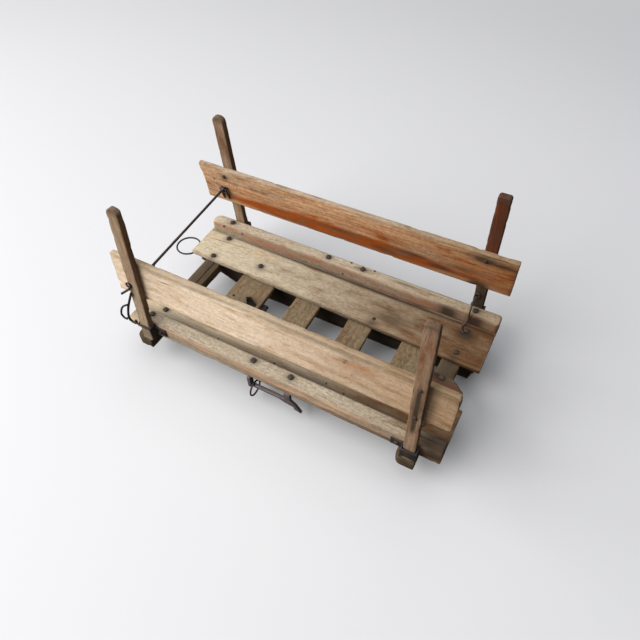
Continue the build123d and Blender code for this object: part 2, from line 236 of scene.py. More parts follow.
class Graph:
    """Short hand for adding and linking nodes in one node tree."""

    def __init__(self, tree: bpy.types.NodeTree) -> None:
        """Takes the tree that the nodes go into."""
        self.tree = tree

    def add(self, kind: str, inputs: dict | None = None, **props: object) -> bpy.types.Node:
        """Adds a node.

        Args:
            kind: Node type's identifier without its ShaderNode prefix, or the whole identifier.
            inputs: Values or sockets by input name or number.
            **props: Properties of the node itself.

        Returns:
            The new node.
        """
        name = kind if kind.startswith("NodeGroup") else "ShaderNode" + kind
        node = self.tree.nodes.new(name)
        for key, value in props.items():
            setattr(node, key, value)
        self.fill(node, inputs or {})
        return node

    def fill(self, node: bpy.types.Node, inputs: dict) -> None:
        """Puts values or sockets into a node's inputs by name or number."""
        for key, value in inputs.items():
            self.put(node.inputs[key], value)

    def put(self, socket: Socket, value: object) -> None:
        """Links a socket to an input, or sets the input's value.

        Args:
            socket: The input.
            value: A socket or a plain value.
        """
        if isinstance(value, Socket):
            self.tree.links.new(value, socket)
        else:
            socket.default_value = value

    def math(self, operation: str, a: object, b: object, clamp: bool = False) -> Socket:
        """Adds a Math node and returns its output."""
        node = self.add("Math", {0: a, 1: b}, operation=operation, use_clamp=clamp)
        return node.outputs[0]

    def plus(self, a: object, b: object, clamp: bool = False) -> Socket:
        """Sum of two values."""
        return self.math("ADD", a, b, clamp)

    def minus(self, a: object, b: object, clamp: bool = False) -> Socket:
        """Difference of two values."""
        return self.math("SUBTRACT", a, b, clamp)

    def times(self, a: object, b: object, clamp: bool = False) -> Socket:
        """Product of two values."""
        return self.math("MULTIPLY", a, b, clamp)

    def stretch(self, place: object, scale: tuple, shift: tuple = (0, 0, 0)) -> Socket:
        """Scales and moves a coordinate and returns the result."""
        node = self.add("Mapping", {"Vector": place, "Location": shift, "Scale": scale})
        return node.outputs["Vector"]

    def noise(self, place: object, scale: float, detail: float, rough: float) -> Socket:
        """Adds a noise texture and returns its factor."""
        inputs = {"Vector": place, "Scale": scale, "Detail": detail, "Roughness": rough}
        return self.add("TexNoise", inputs).outputs["Fac"]

    def long_noise(
        self, place: object, scale: tuple, detail: float, rough: float = 0.6, shift: tuple = (0, 0, 0)
    ) -> Socket:
        """Noise with its own scale on each axis, so that it can follow the grain."""
        return self.noise(self.stretch(place, scale, shift), 1.0, detail, rough)

    def band(self, value: object, low: float, high: float, to: tuple = (0.0, 1.0)) -> Socket:
        """Maps a value smoothly from one range to another and returns it."""
        inputs = {"Value": value, "From Min": low, "From Max": high, "To Min": to[0], "To Max": to[1]}
        return self.add("MapRange", inputs, interpolation_type="SMOOTHSTEP").outputs["Result"]

    def mix(self, share: object, a: object, b: object, blend: str = "MIX") -> Socket:
        """Mixes two colours.

        Args:
            share: Share of the second colour.
            a: First colour.
            b: Second colour.
            blend: The blend type.

        Returns:
            The mixed colour's socket.
        """
        node = self.add("Mix", data_type="RGBA", blend_type=blend)
        for name, value in (("Factor_Float", share), ("A_Color", a), ("B_Color", b)):
            self.put(next(s for s in node.inputs if s.identifier == name), value)
        return next(s for s in node.outputs if s.identifier == "Result_Color")

    def shade(self, colour: object, value: object) -> Socket:
        """Multiplies a colour by a value and returns it."""
        grey = self.add("CombineColor", {"Red": value, "Green": value, "Blue": value})
        return self.mix(1.0, colour, grey.outputs["Color"], "MULTIPLY")

    def attribute(self, name: str, output: str = "Fac") -> Socket:
        """Reads a named attribute of the mesh."""
        return self.add("Attribute", attribute_name=name).outputs[output]


def new_group(name: str, inputs: dict[str, float | None], outputs: tuple) -> tuple:
    """Makes an empty shader node group.

    Args:
        name: The group's name.
        inputs: Default value by input name, or None for a coordinate.
        outputs: Names of the values that it puts out.

    Returns:
        The graph of the group, its input node and its output node.
    """
    tree = bpy.data.node_groups.new(name, "ShaderNodeTree")
    for key, value in inputs.items():
        kind = "NodeSocketVector" if value is None else "NodeSocketFloat"
        socket = tree.interface.new_socket(key, in_out="INPUT", socket_type=kind)
        if value is not None:
            socket.default_value = value
    for key in outputs:
        tree.interface.new_socket(key, in_out="OUTPUT", socket_type="NodeSocketFloat")
    graph = Graph(tree)
    return graph, graph.add("NodeGroupInput"), graph.add("NodeGroupOutput")


class Effects:
    """Node groups that the materials share, each made once."""

    def __init__(self) -> None:
        """Makes every group."""
        self.grain = self.make_grain()
        self.weather = self.make_weather()
        self.ragged = self.make_ragged()

    @staticmethod
    def make_grain() -> bpy.types.NodeTree:
        """Wood grain from board coordinates: fibres, streaks, figure, checks and their relief."""
        graph, given, out = new_group(
            "wood_grain", {"Vector": None, "Check Amount": 0.5},
            ("Fibre", "Streak", "Figure", "Check", "Height"),
        )
        place = given.outputs["Vector"]
        slow = graph.long_noise(place, (2.2, 9, 9), 2.0, 0.55)
        bend = graph.times(graph.minus(slow, 0.5), 0.03)
        bent = graph.add("CombineXYZ", {"Y": bend, "Z": bend})
        wavy = graph.add("VectorMath", {0: place, 1: bent.outputs[0]}, operation="ADD").outputs[0]
        fibre = graph.long_noise(wavy, (14, 620, 620), 4.0)
        streak = graph.long_noise(wavy, (3.2, 95, 95), 4.0, 0.62)
        rings = {"Vector": graph.stretch(wavy, (1.6, 30, 44)), "Scale": 1.0}
        rings |= {"Distortion": 3.2, "Detail": 2.0, "Detail Scale": 1.4}
        figure = graph.add("TexWave", rings, wave_type="BANDS", bands_direction="Y").outputs["Fac"]
        gaps = graph.long_noise(wavy, (6.5, 230, 230), 2.0, 0.5, (3, 1, 2))
        low = graph.plus(0.285, graph.times(given.outputs["Check Amount"], 0.07))
        check = graph.times(graph.minus(low, gaps), 26.0, clamp=True)
        height = graph.plus(graph.times(fibre, 0.45), graph.times(streak, 0.55))
        height = graph.minus(height, graph.times(check, 0.9))
        made = {"Fibre": fibre, "Streak": streak, "Figure": figure, "Check": check, "Height": height}
        graph.fill(out, made)
        return graph.tree

    @staticmethod
    def make_weather() -> bpy.types.NodeTree:
        """Weathering masks, and a mask of edge dirt with painted shade, from board coordinates and the
        distance to the nearest edge.
        """
        graph, given, out = new_group(
            "weathering", {"Vector": None, "Edge": 0.1, "Edge Width": 0.006},
            ("Patch", "Blotch", "Speck", "Edge Dirt And Shade", "Mottle"),
        )
        place = given.outputs["Vector"]
        patch = graph.long_noise(place, (3.0, 10, 10), 4.0)
        blotch = graph.long_noise(place, (9, 30, 30), 5.0, shift=(5, 2, 8))
        mottle = graph.long_noise(place, (70, 110, 110), 5.0, 0.75)
        speck = graph.band(graph.long_noise(place, (120, 260, 260), 1.0, 0.5), 0.66, 0.71)
        # Edge band: dirt along the edges, which also stands in for painted shade there.
        torn = graph.long_noise(place, (40, 120, 120), 3.0)
        width = graph.times(given.outputs["Edge Width"], graph.times(torn, 2.0))
        near_edge = graph.math("DIVIDE", given.outputs["Edge"], width)
        worn = graph.minus(1.0, near_edge, clamp=True)
        made = {"Patch": patch, "Blotch": blotch, "Speck": speck, "Edge Dirt And Shade": worn, "Mottle": mottle}
        graph.fill(out, made)
        return graph.tree

    @staticmethod
    def make_ragged() -> bpy.types.NodeTree:
        """Breaks up a soft painted mask with the grain, so that its edge is ragged."""
        graph, given, out = new_group("ragged_mask", {"Mask": 0.0, "Break": 0.5, "Amount": 0.6}, ("Mask",))
        shift = graph.times(graph.minus(given.outputs["Break"], 0.5), given.outputs["Amount"])
        near_zero = graph.times(given.outputs["Mask"], 6.0, clamp=True)
        total = graph.plus(given.outputs["Mask"], graph.times(shift, near_zero), clamp=True)
        graph.fill(out, {"Mask": total})
        return graph.tree


@dataclass(frozen=True)
class WoodFinish:
    """Old bare wood with open grain, grey weathering and stains.

    Args:
        name: The material's name.
        light: Colour of the lighter grain.
        dark: Colour of the darker grain.
        grey: Colour of the weathered surface.
        greyness: Share of the surface that has gone grey, from 0 to 1.
        rust: Colour of rusty or oiled patches.
        contrast: Strength of the grain's darker lines.
        checks: How many fine drying cracks there are, from 0 to 1.
        grit: Strength of the fine mottling.
        blotches: Strength of the soft blotches.
        blotch: Tint of the blotches.
        deep: Tint of the painted shade towards the rear, and on the stakes' rear-facing sides.
        edge: Colour of the dirty edges, which also stands in for painted shade along them.
        edge_share: Strength of that colour.
        edge_wide: Width of the edge band of dirt and painted shade.
        figure: Strength of the grain's wide bands.
        dirt_and_shade: Colour of dark stains and of painted shadows.
        speck: Colour of the dark specks.
        check: Colour inside the fine cracks.
        bump: Strength of the relief.
        relief: Height of the relief.
    """

    name: str
    light: tuple
    dark: tuple
    grey: tuple
    greyness: float = 0.5
    rust: tuple = tint(140, 66, 20)
    contrast: float = 0.5
    checks: float = 0.5
    grit: float = 0.13
    blotches: float = 0.8
    blotch: tuple = tint(208, 188, 160)
    deep: tuple = (0.5, 0.42, 0.34, 1.0)
    edge: tuple = tint(112, 92, 70)
    edge_share: float = 0.55
    edge_wide: float = 0.0075
    figure: float = 0.4
    dirt_and_shade: tuple = tint(48, 36, 28)
    speck: tuple = tint(60, 44, 32)
    check: tuple = tint(44, 32, 24)
    bump: float = 0.5
    relief: float = 0.0016

    def make(self, effects: Effects) -> Material:
        """Makes the material.

        Args:
            effects: The shared node groups.

        Returns:
            The finished material.
        """
        material = bpy.data.materials.new(self.name)
        material.use_nodes = True
        graph = Graph(material.node_tree)
        place = graph.attribute("grain", "Vector")
        inputs = {"Vector": place, "Check Amount": self.checks}
        grain = graph.add("Group", inputs, node_tree=effects.grain).outputs
        inputs = {"Vector": place, "Edge": graph.attribute("edge"), "Edge Width": self.edge_wide}
        weather = graph.add("Group", inputs, node_tree=effects.weather).outputs
        body = self.bare(graph, grain, weather)
        body = self.marked(graph, body, grain, weather, effects.ragged)
        bump = {"Strength": self.bump, "Distance": self.relief, "Height": grain["Height"]}
        shader = graph.tree.nodes["Principled BSDF"]
        graph.fill(shader, {
            "Base Color": body,
            "Roughness": graph.band(grain["Fibre"], 0.3, 0.7, (0.92, 0.74)),
            "Specular IOR Level": 0.22,
            "Normal": graph.add("Bump", bump).outputs["Normal"],
        })
        return material

    def bare(self, graph: Graph, grain: object, weather: object) -> Socket:
        """Colour of the wood with its grain and its greying.

        Args:
            graph: The material's graph.
            grain: Outputs of the grain group.
            weather: Outputs of the weathering group.

        Returns:
            The colour's socket.
        """
        body = graph.mix(graph.band(grain["Streak"], 0.3, 0.7), self.dark, self.light)
        fibre = graph.band(grain["Fibre"], 0.32, 0.68)
        figure = graph.times(graph.minus(1.0, grain["Figure"]), self.figure * self.contrast)
        body = graph.mix(figure, body, self.dark)
        grey_low = 0.72 - 0.5 * self.greyness
        pale = graph.plus(weather["Patch"], graph.times(graph.attribute("pale"), 0.5))
        silver = graph.band(pale, grey_low - 0.12, grey_low + 0.16)
        silver = graph.times(silver, graph.band(fibre, 0.0, 1.0, (0.65, 1.0)))
        body = graph.mix(silver, body, self.grey)
        lines = graph.band(fibre, 0.0, 1.0, (1.0 - 0.3 * self.contrast, 1.0 + 0.12 * self.contrast))
        body = graph.shade(body, lines)
        mottle = graph.band(weather["Mottle"], 0.34, 0.66, (1.0 - self.grit, 1.0 + 0.6 * self.grit))
        body = graph.shade(body, mottle)
        blotch = graph.times(graph.band(weather["Blotch"], 0.52, 0.72), self.blotches)
        return graph.mix(blotch, body, self.blotch, "MULTIPLY")

    def marked(
        self, graph: Graph, body: Socket, grain: object, weather: object, ragged: bpy.types.NodeTree
    ) -> Socket:
        """Adds painted shade towards the rear, rust, edge dirt with painted shade along it, stains with
        painted shadows, specks and fine cracks to the wood.

        Args:
            graph: The material's graph.
            body: Colour of the bare wood.
            grain: Outputs of the grain group.
            weather: Outputs of the weathering group.
            ragged: The group that breaks up a mask.

        Returns:
            The colour's socket.
        """

        def mask(name: str, torn_by: Socket, amount: float) -> Socket:
            """Painted mask of a name with its edge broken up."""
            inputs = {"Mask": graph.attribute(name), "Break": torn_by, "Amount": amount}
            return graph.add("Group", inputs, node_tree=ragged).outputs[0]

        # Painted shade: the deep layer darkens the wood with the deep tint, towards the rear and on the
        # stakes' rear sides.
        shadow_tinted = graph.mix(1.0, body, self.deep, "MULTIPLY")
        body = graph.mix(mask("deep", weather["Blotch"], 0.9), body, shadow_tinted)
        cloud = graph.plus(grain["Streak"], weather["Blotch"])
        ruddy = graph.shade(self.rust, graph.band(cloud, 0.75, 1.25, (0.45, 1.4)))
        body = graph.mix(graph.times(mask("rust", graph.times(cloud, 0.5), 2.6), 0.96), body, ruddy)
        # Edge band: dirt, and painted shade along the edges.
        body = graph.mix(graph.times(weather["Edge Dirt And Shade"], self.edge_share), body, self.edge)
        # Stains, and the painted shadows laid in the same mask.
        body = graph.mix(graph.times(mask("stain", weather["Mottle"], 0.9), 0.9), body, self.dirt_and_shade)
        body = graph.mix(graph.times(weather["Speck"], 0.45), body, self.speck)
        body = graph.mix(graph.times(grain["Check"], 0.72), body, self.check)
        return graph.shade(body, graph.attribute("tone"))


@dataclass(frozen=True)
class IronFinish:
    """Hand-forged iron gone dark brown, with rust in the hollows and a polish where it rubs.

    Args:
        name: The material's name.
        body: Colour of the scale.
        rust: Colour of the rust.
        rustiness: Share of rust, from 0 to 1.
        bump: Strength of the dents.
        relief: Height of the dents.
    """

    name: str
    body: tuple
    rust: tuple
    rustiness: float = 0.4
    bump: float = 0.55
    relief: float = 0.0012

    def make(self) -> Material:
        """Makes the material and returns it."""
        material = bpy.data.materials.new(self.name)
        material.use_nodes = True
        graph = Graph(material.node_tree)
        place = graph.add("TexCoord").outputs["Object"]
        cloud = graph.noise(place, 55.0, 5.0, 0.65)
        fine = graph.noise(place, 420.0, 3.0, 0.6)
        dents = graph.noise(place, 130.0, 2.0, 0.5)
        level = 0.66 - 0.3 * self.rustiness
        rusty = graph.plus(cloud, graph.times(graph.minus(fine, 0.5), 0.3))
        rust = graph.band(rusty, level - 0.1, level + 0.1)
        height = graph.plus(graph.times(dents, 0.7), graph.times(fine, 0.3))
        bump = {"Strength": self.bump, "Distance": self.relief, "Height": height}
        shader = graph.tree.nodes["Principled BSDF"]
        graph.fill(shader, {
            "Base Color": graph.shade(
                graph.mix(rust, self.body, self.rust), graph.band(fine, 0.3, 0.7, (0.72, 1.2))
            ),
            "Metallic": graph.band(rust, 0.0, 1.0, (0.4, 0.0)),
            "Roughness": graph.band(rust, 0.0, 1.0, (0.5, 0.88)),
            "Normal": graph.add("Bump", bump).outputs["Normal"],
        })
        return material


class Finishes:
    """Every material of the sled."""

    def __init__(self) -> None:
        """Makes the materials."""
        effects = Effects()
        # The deep tints below are the colours of the painted shade towards the rear.
        self.deck = WoodFinish(
            "deck_wood", tint(198, 178, 148), tint(164, 140, 108), tint(182, 170, 148), 0.5,
            rust=tint(104, 72, 42), contrast=0.35, checks=0.05, grit=0.2, blotches=0.6,
            deep=(0.25, 0.15, 0.085, 1.0),
        ).make(effects)
        self.rail = WoodFinish(
            "rail_wood", tint(188, 166, 138), tint(146, 120, 92), tint(174, 160, 138), 0.8,
            rust=tint(132, 86, 62), contrast=0.45, checks=0.3, grit=0.24, edge_share=0.35,
        ).make(effects)
        self.near_rail = WoodFinish(
            "near_rail_wood", tint(180, 160, 136), tint(142, 120, 94), tint(166, 154, 134), 0.8,
            rust=tint(190, 148, 118), contrast=0.45, checks=0.3, grit=0.3, edge_share=0.35,
        ).make(effects)
        self.near_rack = WoodFinish(
            "near_rack_wood", tint(234, 214, 190), tint(214, 187, 158), tint(160, 143, 120), 0.1,
            rust=tint(150, 100, 62), contrast=0.22, checks=0.05, grit=0.15, blotches=0.7,
            deep=(0.52, 0.43, 0.34, 1.0), edge=tint(150, 128, 102), bump=0.3,
        ).make(effects)
        self.far_rack = WoodFinish(
            "far_rack_wood", tint(214, 172, 132), tint(172, 122, 82), tint(166, 150, 128), 0.1,
            rust=tint(136, 62, 2), contrast=0.6, checks=0.9, grit=0.26, blotches=1.0,
            blotch=tint(196, 152, 108), figure=0.1, deep=(0.58, 0.46, 0.33, 1.0),
            edge=tint(120, 100, 78),
        ).make(effects)
        self.stake = WoodFinish(
            "stake_wood", tint(178, 150, 122), tint(122, 94, 70), tint(170, 150, 124), 0.4,
            rust=tint(86, 38, 14), contrast=0.6, checks=0.45, edge=tint(98, 76, 56),
        ).make(effects)
        self.cross = WoodFinish(
            "cross_wood", tint(130, 109, 82), tint(102, 80, 56), tint(122, 106, 82), 0.6,
            contrast=0.35, checks=0.35, grit=0.34, blotches=1.0, blotch=tint(190, 168, 140),
        ).make(effects)
        self.runner = WoodFinish(
            "runner_wood", tint(70, 56, 42), tint(44, 34, 26), tint(70, 62, 50), 0.4, contrast=0.6,
        ).make(effects)
        self.tenon = IronFinish("tenon_wood", tint(40, 32, 24), tint(30, 24, 18), 0.3).make()
        self.iron = IronFinish("forged_iron", tint(46, 43, 43), tint(64, 46, 36), 0.35).make()
        self.grey_iron = IronFinish("grey_iron", tint(104, 94, 94), tint(92, 76, 70), 0.25).make()
        self.nut_iron = IronFinish("nut_iron", tint(60, 54, 48), tint(66, 50, 38), 0.5).make()


class Bench:
    """Shared work on meshes, and the step that makes them the sled's objects."""

    SMOOTH_ANGLE = math.radians(38)

    @staticmethod
    def finish(
        bm: Mesh, name: str, material: Material, nodes: tuple, slot: Slot, body: str = "sled"
    ) -> bpy.types.Object:
        """Makes an object of a mesh that is already in its place.

        Args:
            bm: The mesh, which is freed.
            name: The piece's name.
            material: Its material.
            nodes: CAD nodes that it stands for.
            slot: Not used.
            body: The CAD body that it moves with.

        Returns:
            The new object.
        """
        bmesh.ops.recalc_face_normals(bm, faces=bm.faces)
        mesh = bpy.data.meshes.new(name)
        bm.to_mesh(mesh)
        bm.free()
        mesh.materials.append(material)
        mesh.shade_smooth()
        mesh.set_sharp_from_angle(angle=Bench.SMOOTH_ANGLE)
        piece = bpy.data.objects.new(name, mesh)
        bpy.context.scene.collection.objects.link(piece)
        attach(piece, body)
        if nodes:
            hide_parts(*nodes)
        log.info("%s: %d faces", name, len(mesh.polygons))
        return piece

    @staticmethod
    def box(low: tuple, high: tuple) -> Mesh:
        """Box between two corners.

        Args:
            low: Its lowest corner.
            high: Its highest corner.

        Returns:
            The new mesh.
        """
        lo, hi = Vector(low), Vector(high)
        bm = bmesh.new()
        size = Matrix.Diagonal((*(hi - lo), 1.0))
        bmesh.ops.create_cube(bm, size=1.0, matrix=Matrix.Translation((lo + hi) / 2) @ size)
        return bm

    @staticmethod
    def round_edges(bm: Mesh, edges: list, radius: float, segments: int = 2) -> None:
        """Rounds edges of a mesh.

        Args:
            bm: The mesh.
            edges: The edges.
            radius: Their radius.
            segments: Number of flats in the round.
        """
        bmesh.ops.bevel(
            bm, geom=edges, offset=radius, segments=segments, profile=0.5, affect="EDGES",
            material=-1, clamp_overlap=True,
        )

    @staticmethod
    def lying(bm: Mesh, axis: int, shortest: float = 0.01) -> list:
        """Finds the edges that lie along an axis.

        Args:
            bm: The mesh.
            axis: Number of the axis.
            shortest: Length of the shortest edge that counts.

        Returns:
            The edges.
        """
        found = []
        for edge in bm.edges:
            step = edge.verts[1].co - edge.verts[0].co
            if step.length >= shortest and abs(step[axis]) > 0.999 * step.length:
                found.append(edge)
        return found

    @staticmethod
    def level(edges: list, axis: int, value: float) -> list:
        """Edges that lie wholly at one value of an axis."""
        return [e for e in edges if all(abs(v.co[axis] - value) < CLOSE for v in e.verts)]

    @staticmethod
    def sharp(bm: Mesh, angle: float = 1.2) -> list:
        """Edges whose faces meet at more than an angle."""
        return [e for e in bm.edges if e.calc_face_angle(0) > angle]

    @staticmethod
    def bisect(bm: Mesh, faces: list, point: tuple, normal: tuple, dist: float) -> None:
        """Cuts faces along a plane.

        Args:
            bm: The mesh.
            faces: The faces that may be cut.
            point: A point of the plane.
            normal: The plane's normal.
            dist: How near a vertex counts as on the plane.
        """
        parts = {*faces, *(e for f in faces for e in f.edges), *(v for f in faces for v in f.verts)}
        bmesh.ops.bisect_plane(bm, geom=list(parts), plane_co=point, plane_no=normal, dist=dist)

    @staticmethod
    def join(bm: Mesh, part: Mesh) -> None:
        """Adds one mesh to another.

        Args:
            bm: The mesh that grows.
            part: The mesh that is added and freed.
        """
        mesh = bpy.data.meshes.new("part")
        part.to_mesh(mesh)
        part.free()
        bm.from_mesh(mesh)
        bpy.data.meshes.remove(mesh)

    @staticmethod
    def copy_node(node: str) -> Mesh:
        """Merged copy of a CAD node's mesh.

        Args:
            node: The CAD node.

        Returns:
            The copy.
        """
        bm = bmesh.new()
        bm.from_mesh(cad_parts[node].data)
        bmesh.ops.remove_doubles(bm, verts=bm.verts, dist=TINY)
        return bm


@dataclass
class Board:
    """A worn board or stick, shaped in its own axes: X along the grain, Y across and Z through it.

    Args:
        node: The CAD node that it stands for.
        low: Lowest corner in its own axes.
        high: Highest corner in its own axes.
        place: Matrix from its own axes to the frame.
        material: Its material.
        slot: Material slot, handed on to the finishing step.
        seed: Number that makes its wear its own.
        step: Spacing of its cuts.
        cut_share: Shortest edge that is cut on each axis, as a share of the board there.
        edge: Radius of its edges.
        chips: Depth of the chips in its edges.
        warp: How far it has warped.
        ripple: Height of the ripples in its faces.
        tone: Brightness against its finish.
        shade_span: Places along it where its painted shade towards the rear starts and where it is darkest.
        cracks: Splits that follow the grain.
        marks: Patches on it.
    """

    node: str
    low: tuple
    high: tuple
    place: Matrix
    material: Material
    slot: Slot = Slot.WEATHERED
    seed: float = 0.0
    step: float = 0.009
    cut_share: tuple = (0.4, 0.4, 0.3)
    edge: float = 0.003
    chips: float = 0.0016
    warp: float = 0.0008
    ripple: float = 0.00028
    tone: float = 1.0
    # Painted shade towards the rear. By default it starts past the board's end, so there is none.
    shade_span: tuple = (2.0, 3.0)
    cracks: list = field(default_factory=list)
    marks: list = field(default_factory=list)

    def part(self, co: Vector, axis: int) -> float:
        """How far a point is from the board's low side to its high side, from 0 to 1."""
        return (co[axis] - self.low[axis]) / (self.high[axis] - self.low[axis])

    def shape(self, co: Vector) -> Vector:
        """Takes a point of the plain box to its place in the outline. Plain boards keep it."""
        return co

    def prepare(self, bm: Mesh) -> None:
        """Rounds the plain box's edges before it is cut up."""
        Bench.round_edges(bm, list(bm.edges), self.edge)

    def cut(self, bm: Mesh) -> None:
        """Cuts the board into small faces.

        Args:
            bm: The board's mesh.
        """
        for axis, share in enumerate(self.cut_share):
            edges = Bench.lying(bm, axis, (self.high[axis] - self.low[axis]) * share)
            for alike in self.by_length(edges):
                count = int(alike[0].calc_length() / self.step)
                if count > 0:
                    bmesh.ops.subdivide_edges(bm, edges=alike, cuts=count, use_grid_fill=True)

    @staticmethod
    def by_length(edges: list) -> list[list]:
        """Groups edges of one length to half a millimetre, so that each group is cut alike.

        Args:
            edges: The edges.

        Returns:
            The groups.
        """
        groups: dict[int, list] = {}
        for edge in edges:
            groups.setdefault(round(edge.calc_length() * 2000), []).append(edge)
        return list(groups.values())

    def wear(self, co: Vector) -> tuple[Vector, float]:
        """Moves a point of the board to its worn place.

        Args:
            co: The point before wear, in the board's axes.

        Returns:
            The worn point and its distance from the nearest edge.
        """
        lo, hi = Vector(self.low), Vector(self.high)
        gaps = [min(co[i] - lo[i], hi[i] - co[i]) for i in range(3)]
        order = sorted(range(3), key=lambda i: gaps[i])
        edge = math.hypot(max(0.0, gaps[order[0]]), max(0.0, gaps[order[1]]))
        moved = co.copy()
        seed = Vector((self.seed * 7.3, self.seed * 3.1, self.seed * 5.7))
        reach = 4 * self.edge
        if edge < reach:
            chip = uneven(co, CHIP_SCALE, seed) + 0.5 * uneven(co, FINE_CHIP_SCALE, seed)
            depth = max(0.0, chip - CHIP_START) * self.chips * CHIP_GAIN * (1 - edge / reach)
            for axis in order[:2]:
                moved[axis] += depth if co[axis] - lo[axis] < hi[axis] - co[axis] else -depth
        for axis, scale in WARP_SCALES:
            moved[axis] += self.warp * noise.noise(Vector((co.x * scale, co.y * 2, axis * 9.0)) + seed)
        thin = order[0]
        outward = 1 if co[thin] > (lo[thin] + hi[thin]) / 2 else -1
        moved[thin] += self.ripple * uneven(co, RIPPLE_SCALE, seed) * outward
        for axis in range(3):
            moved[axis] = min(max(moved[axis], lo[axis]), hi[axis])
        return moved, edge

    def shade_share(self, co: Vector) -> float:
        """How strong the painted shade is at a point of the plain box, from 0 to 1. It grows towards the
        rear.
        """
        return (co.x - self.shade_span[0]) / (self.shade_span[1] - self.shade_span[0])

    def open_cracks(self, bm: Mesh, stain: object) -> None:
        """Cuts each split's lines into the upper face, and pushes them down.

        Args:
            bm: The board's mesh.
            stain: The layer that darkens the split.
        """
        top = self.high[2] - CLOSE
        for crack in self.cracks:
            for share in (-1.0, -0.5, 0.0, 0.5, 1.0):
                faces = []
                for face in bm.faces:
                    x, y, _ = face.calc_center_median()
                    near = crack.start - 0.02 < x < crack.end + 0.02 and abs(crack.off(x, y)) < 2 * self.step
                    if near and all(v.co.z > top for v in face.verts):
                        faces.append(face)
                normal = Vector((-crack.slope(), 1, 0)).normalized()
                Bench.bisect(bm, faces, (crack.start, crack.y + share * crack.wide, 0), normal, TINY)
            for vert in bm.verts:
                off = abs(crack.off(*vert.co.xy))
                if vert.co.z < top or off > crack.wide * 1.05:
                    continue
                opened = crack.share(vert.co.x)
                vert.co.y += crack.stray(vert.co.x) * min(1.0, opened * 2)
                if off < crack.wide * 0.6:
                    vert.co.z -= crack.deep * opened * (1.0 if off < crack.wide * 0.1 else 0.5)
                    vert[stain] = opened

    def after(self, bm: Mesh) -> None:
        """Last changes to the mesh in the frame's axes. Plain boards need none."""

    def build(self) -> bpy.types.Object:
        """Builds the board in its place and returns the finished object."""
        bm = Bench.box(self.low, self.high)
        self.prepare(bm)
        self.cut(bm)
        grain = bm.verts.layers.float_vector.new("grain")
        names = ("edge", "rust", "stain", "pale", "tone", "deep")
        layers = {name: bm.verts.layers.float.new(name) for name in names}
        self.open_cracks(bm, layers["stain"])
        offset = Vector((self.seed * 1.7, self.seed * 0.37, self.seed * 0.21))
        for vert in bm.verts:
            plain = vert.co.copy()
            worn, edge = self.wear(plain)
            shaped = self.shape(worn)
            vert[grain] = shaped + offset
            vert[layers["edge"]] = edge
            vert[layers["tone"]] = self.tone
            # The deep layer holds painted shade: darker towards the rear of a board and on a stake's
            # rear-facing side.
            vert[layers["deep"]] = min(1.0, max(0.0, self.shade_share(plain)))
            for kind in Patina:
                layer = layers[kind.value]
                values = [m.strength(plain.x, plain.y) for m in self.marks if m.kind is kind]
                vert[layer] = min(1.0, max([vert[layer], *values]))
            vert.co = shaped
        bmesh.ops.transform(bm, matrix=self.place, verts=bm.verts)
        self.after(bm)
        return Bench.finish(bm, self.node + "_worn", self.material, (self.node,), self.slot)


ALONG_SLED = Matrix.Translation((MID_X, 0, 0))
ACROSS_SLED = Matrix(((0, 1, 0, MID_X), (1, 0, 0, 0), (0, 0, 1, 0), (0, 0, 0, 1)))


def sled_point(x: float, y: float, z: float) -> Matrix:
    """Place of a small piece, with X counted from the middle of the deck."""
    return Matrix.Translation((MID_X + x, y, z))


def side_matrix(side: Side) -> Matrix:
    """Mirror to the near side, or nothing for the far side."""
    return Matrix.Diagonal((1, side.value, 1, 1))


def rack_place(side: Side, dip: float = 0.0) -> Matrix:
    """Place of a rack board, with X along the sled, Y up the board and Z outward.

    Args:
        side: The board's side of the sled.
        dip: Angle by which its front end is down.

    Returns:
        The matrix from the board's axes to the frame.
    """
    lean = Matrix.Rotation(RACK_LEAN, 4, "X") @ Matrix.Rotation(-dip, 4, "Y")
    swap = Matrix(((1, 0, 0, 0), (0, 0, 1, 0), (0, 1, 0, 0), (0, 0, 0, 1)))
    return side_matrix(side) @ sled_point(0, RACK_Y, RACK_Z) @ lean @ swap


@dataclass
class FarDeck(Board):
    """Deck board whose inner edge tapers towards the rear.

    Args:
        inner_front: Place of the inner edge at the front.
        inner_rear: Place of the inner edge at the rear.
        sway: How far the inner edge strays from straight.
    """

    inner_front: float = 0.099
    inner_rear: float = 0.069
    sway: float = 0.0015

    def shape(self, co: Vector) -> Vector:
        """Takes the plain box's inner edge to the tapered one.

        Args:
            co: A point of the plain box.

        Returns:
            Its place in the outline.
        """
        inner = self.inner_front + (self.inner_rear - self.inner_front) * self.part(co, 0)
        inner += self.sway * noise.noise(Vector((co.x * 5, 2.0, 0.4)))
        return Vector((co.x, inner + (self.high[1] - inner) * self.part(co, 1), co.z))


@dataclass
class Patch(Board):
    """Short board over the rear bolster with its free corner worn round.

    Args:
        corner: Place across the sled and rear end there, from the near edge on.
    """

    corner: tuple = (
        (-0.0955, 0.587), (-0.058, 0.587), (-0.034, 0.578), (-0.012, 0.553), (0.002, 0.528)
    )

    def shape(self, co: Vector) -> Vector:
        """Takes the plain box's rear end to the round one."""
        rear = bent_line(self.corner, co.y)
        return Vector((self.low[0] + (rear - self.low[0]) * self.part(co, 0), co.y, co.z))


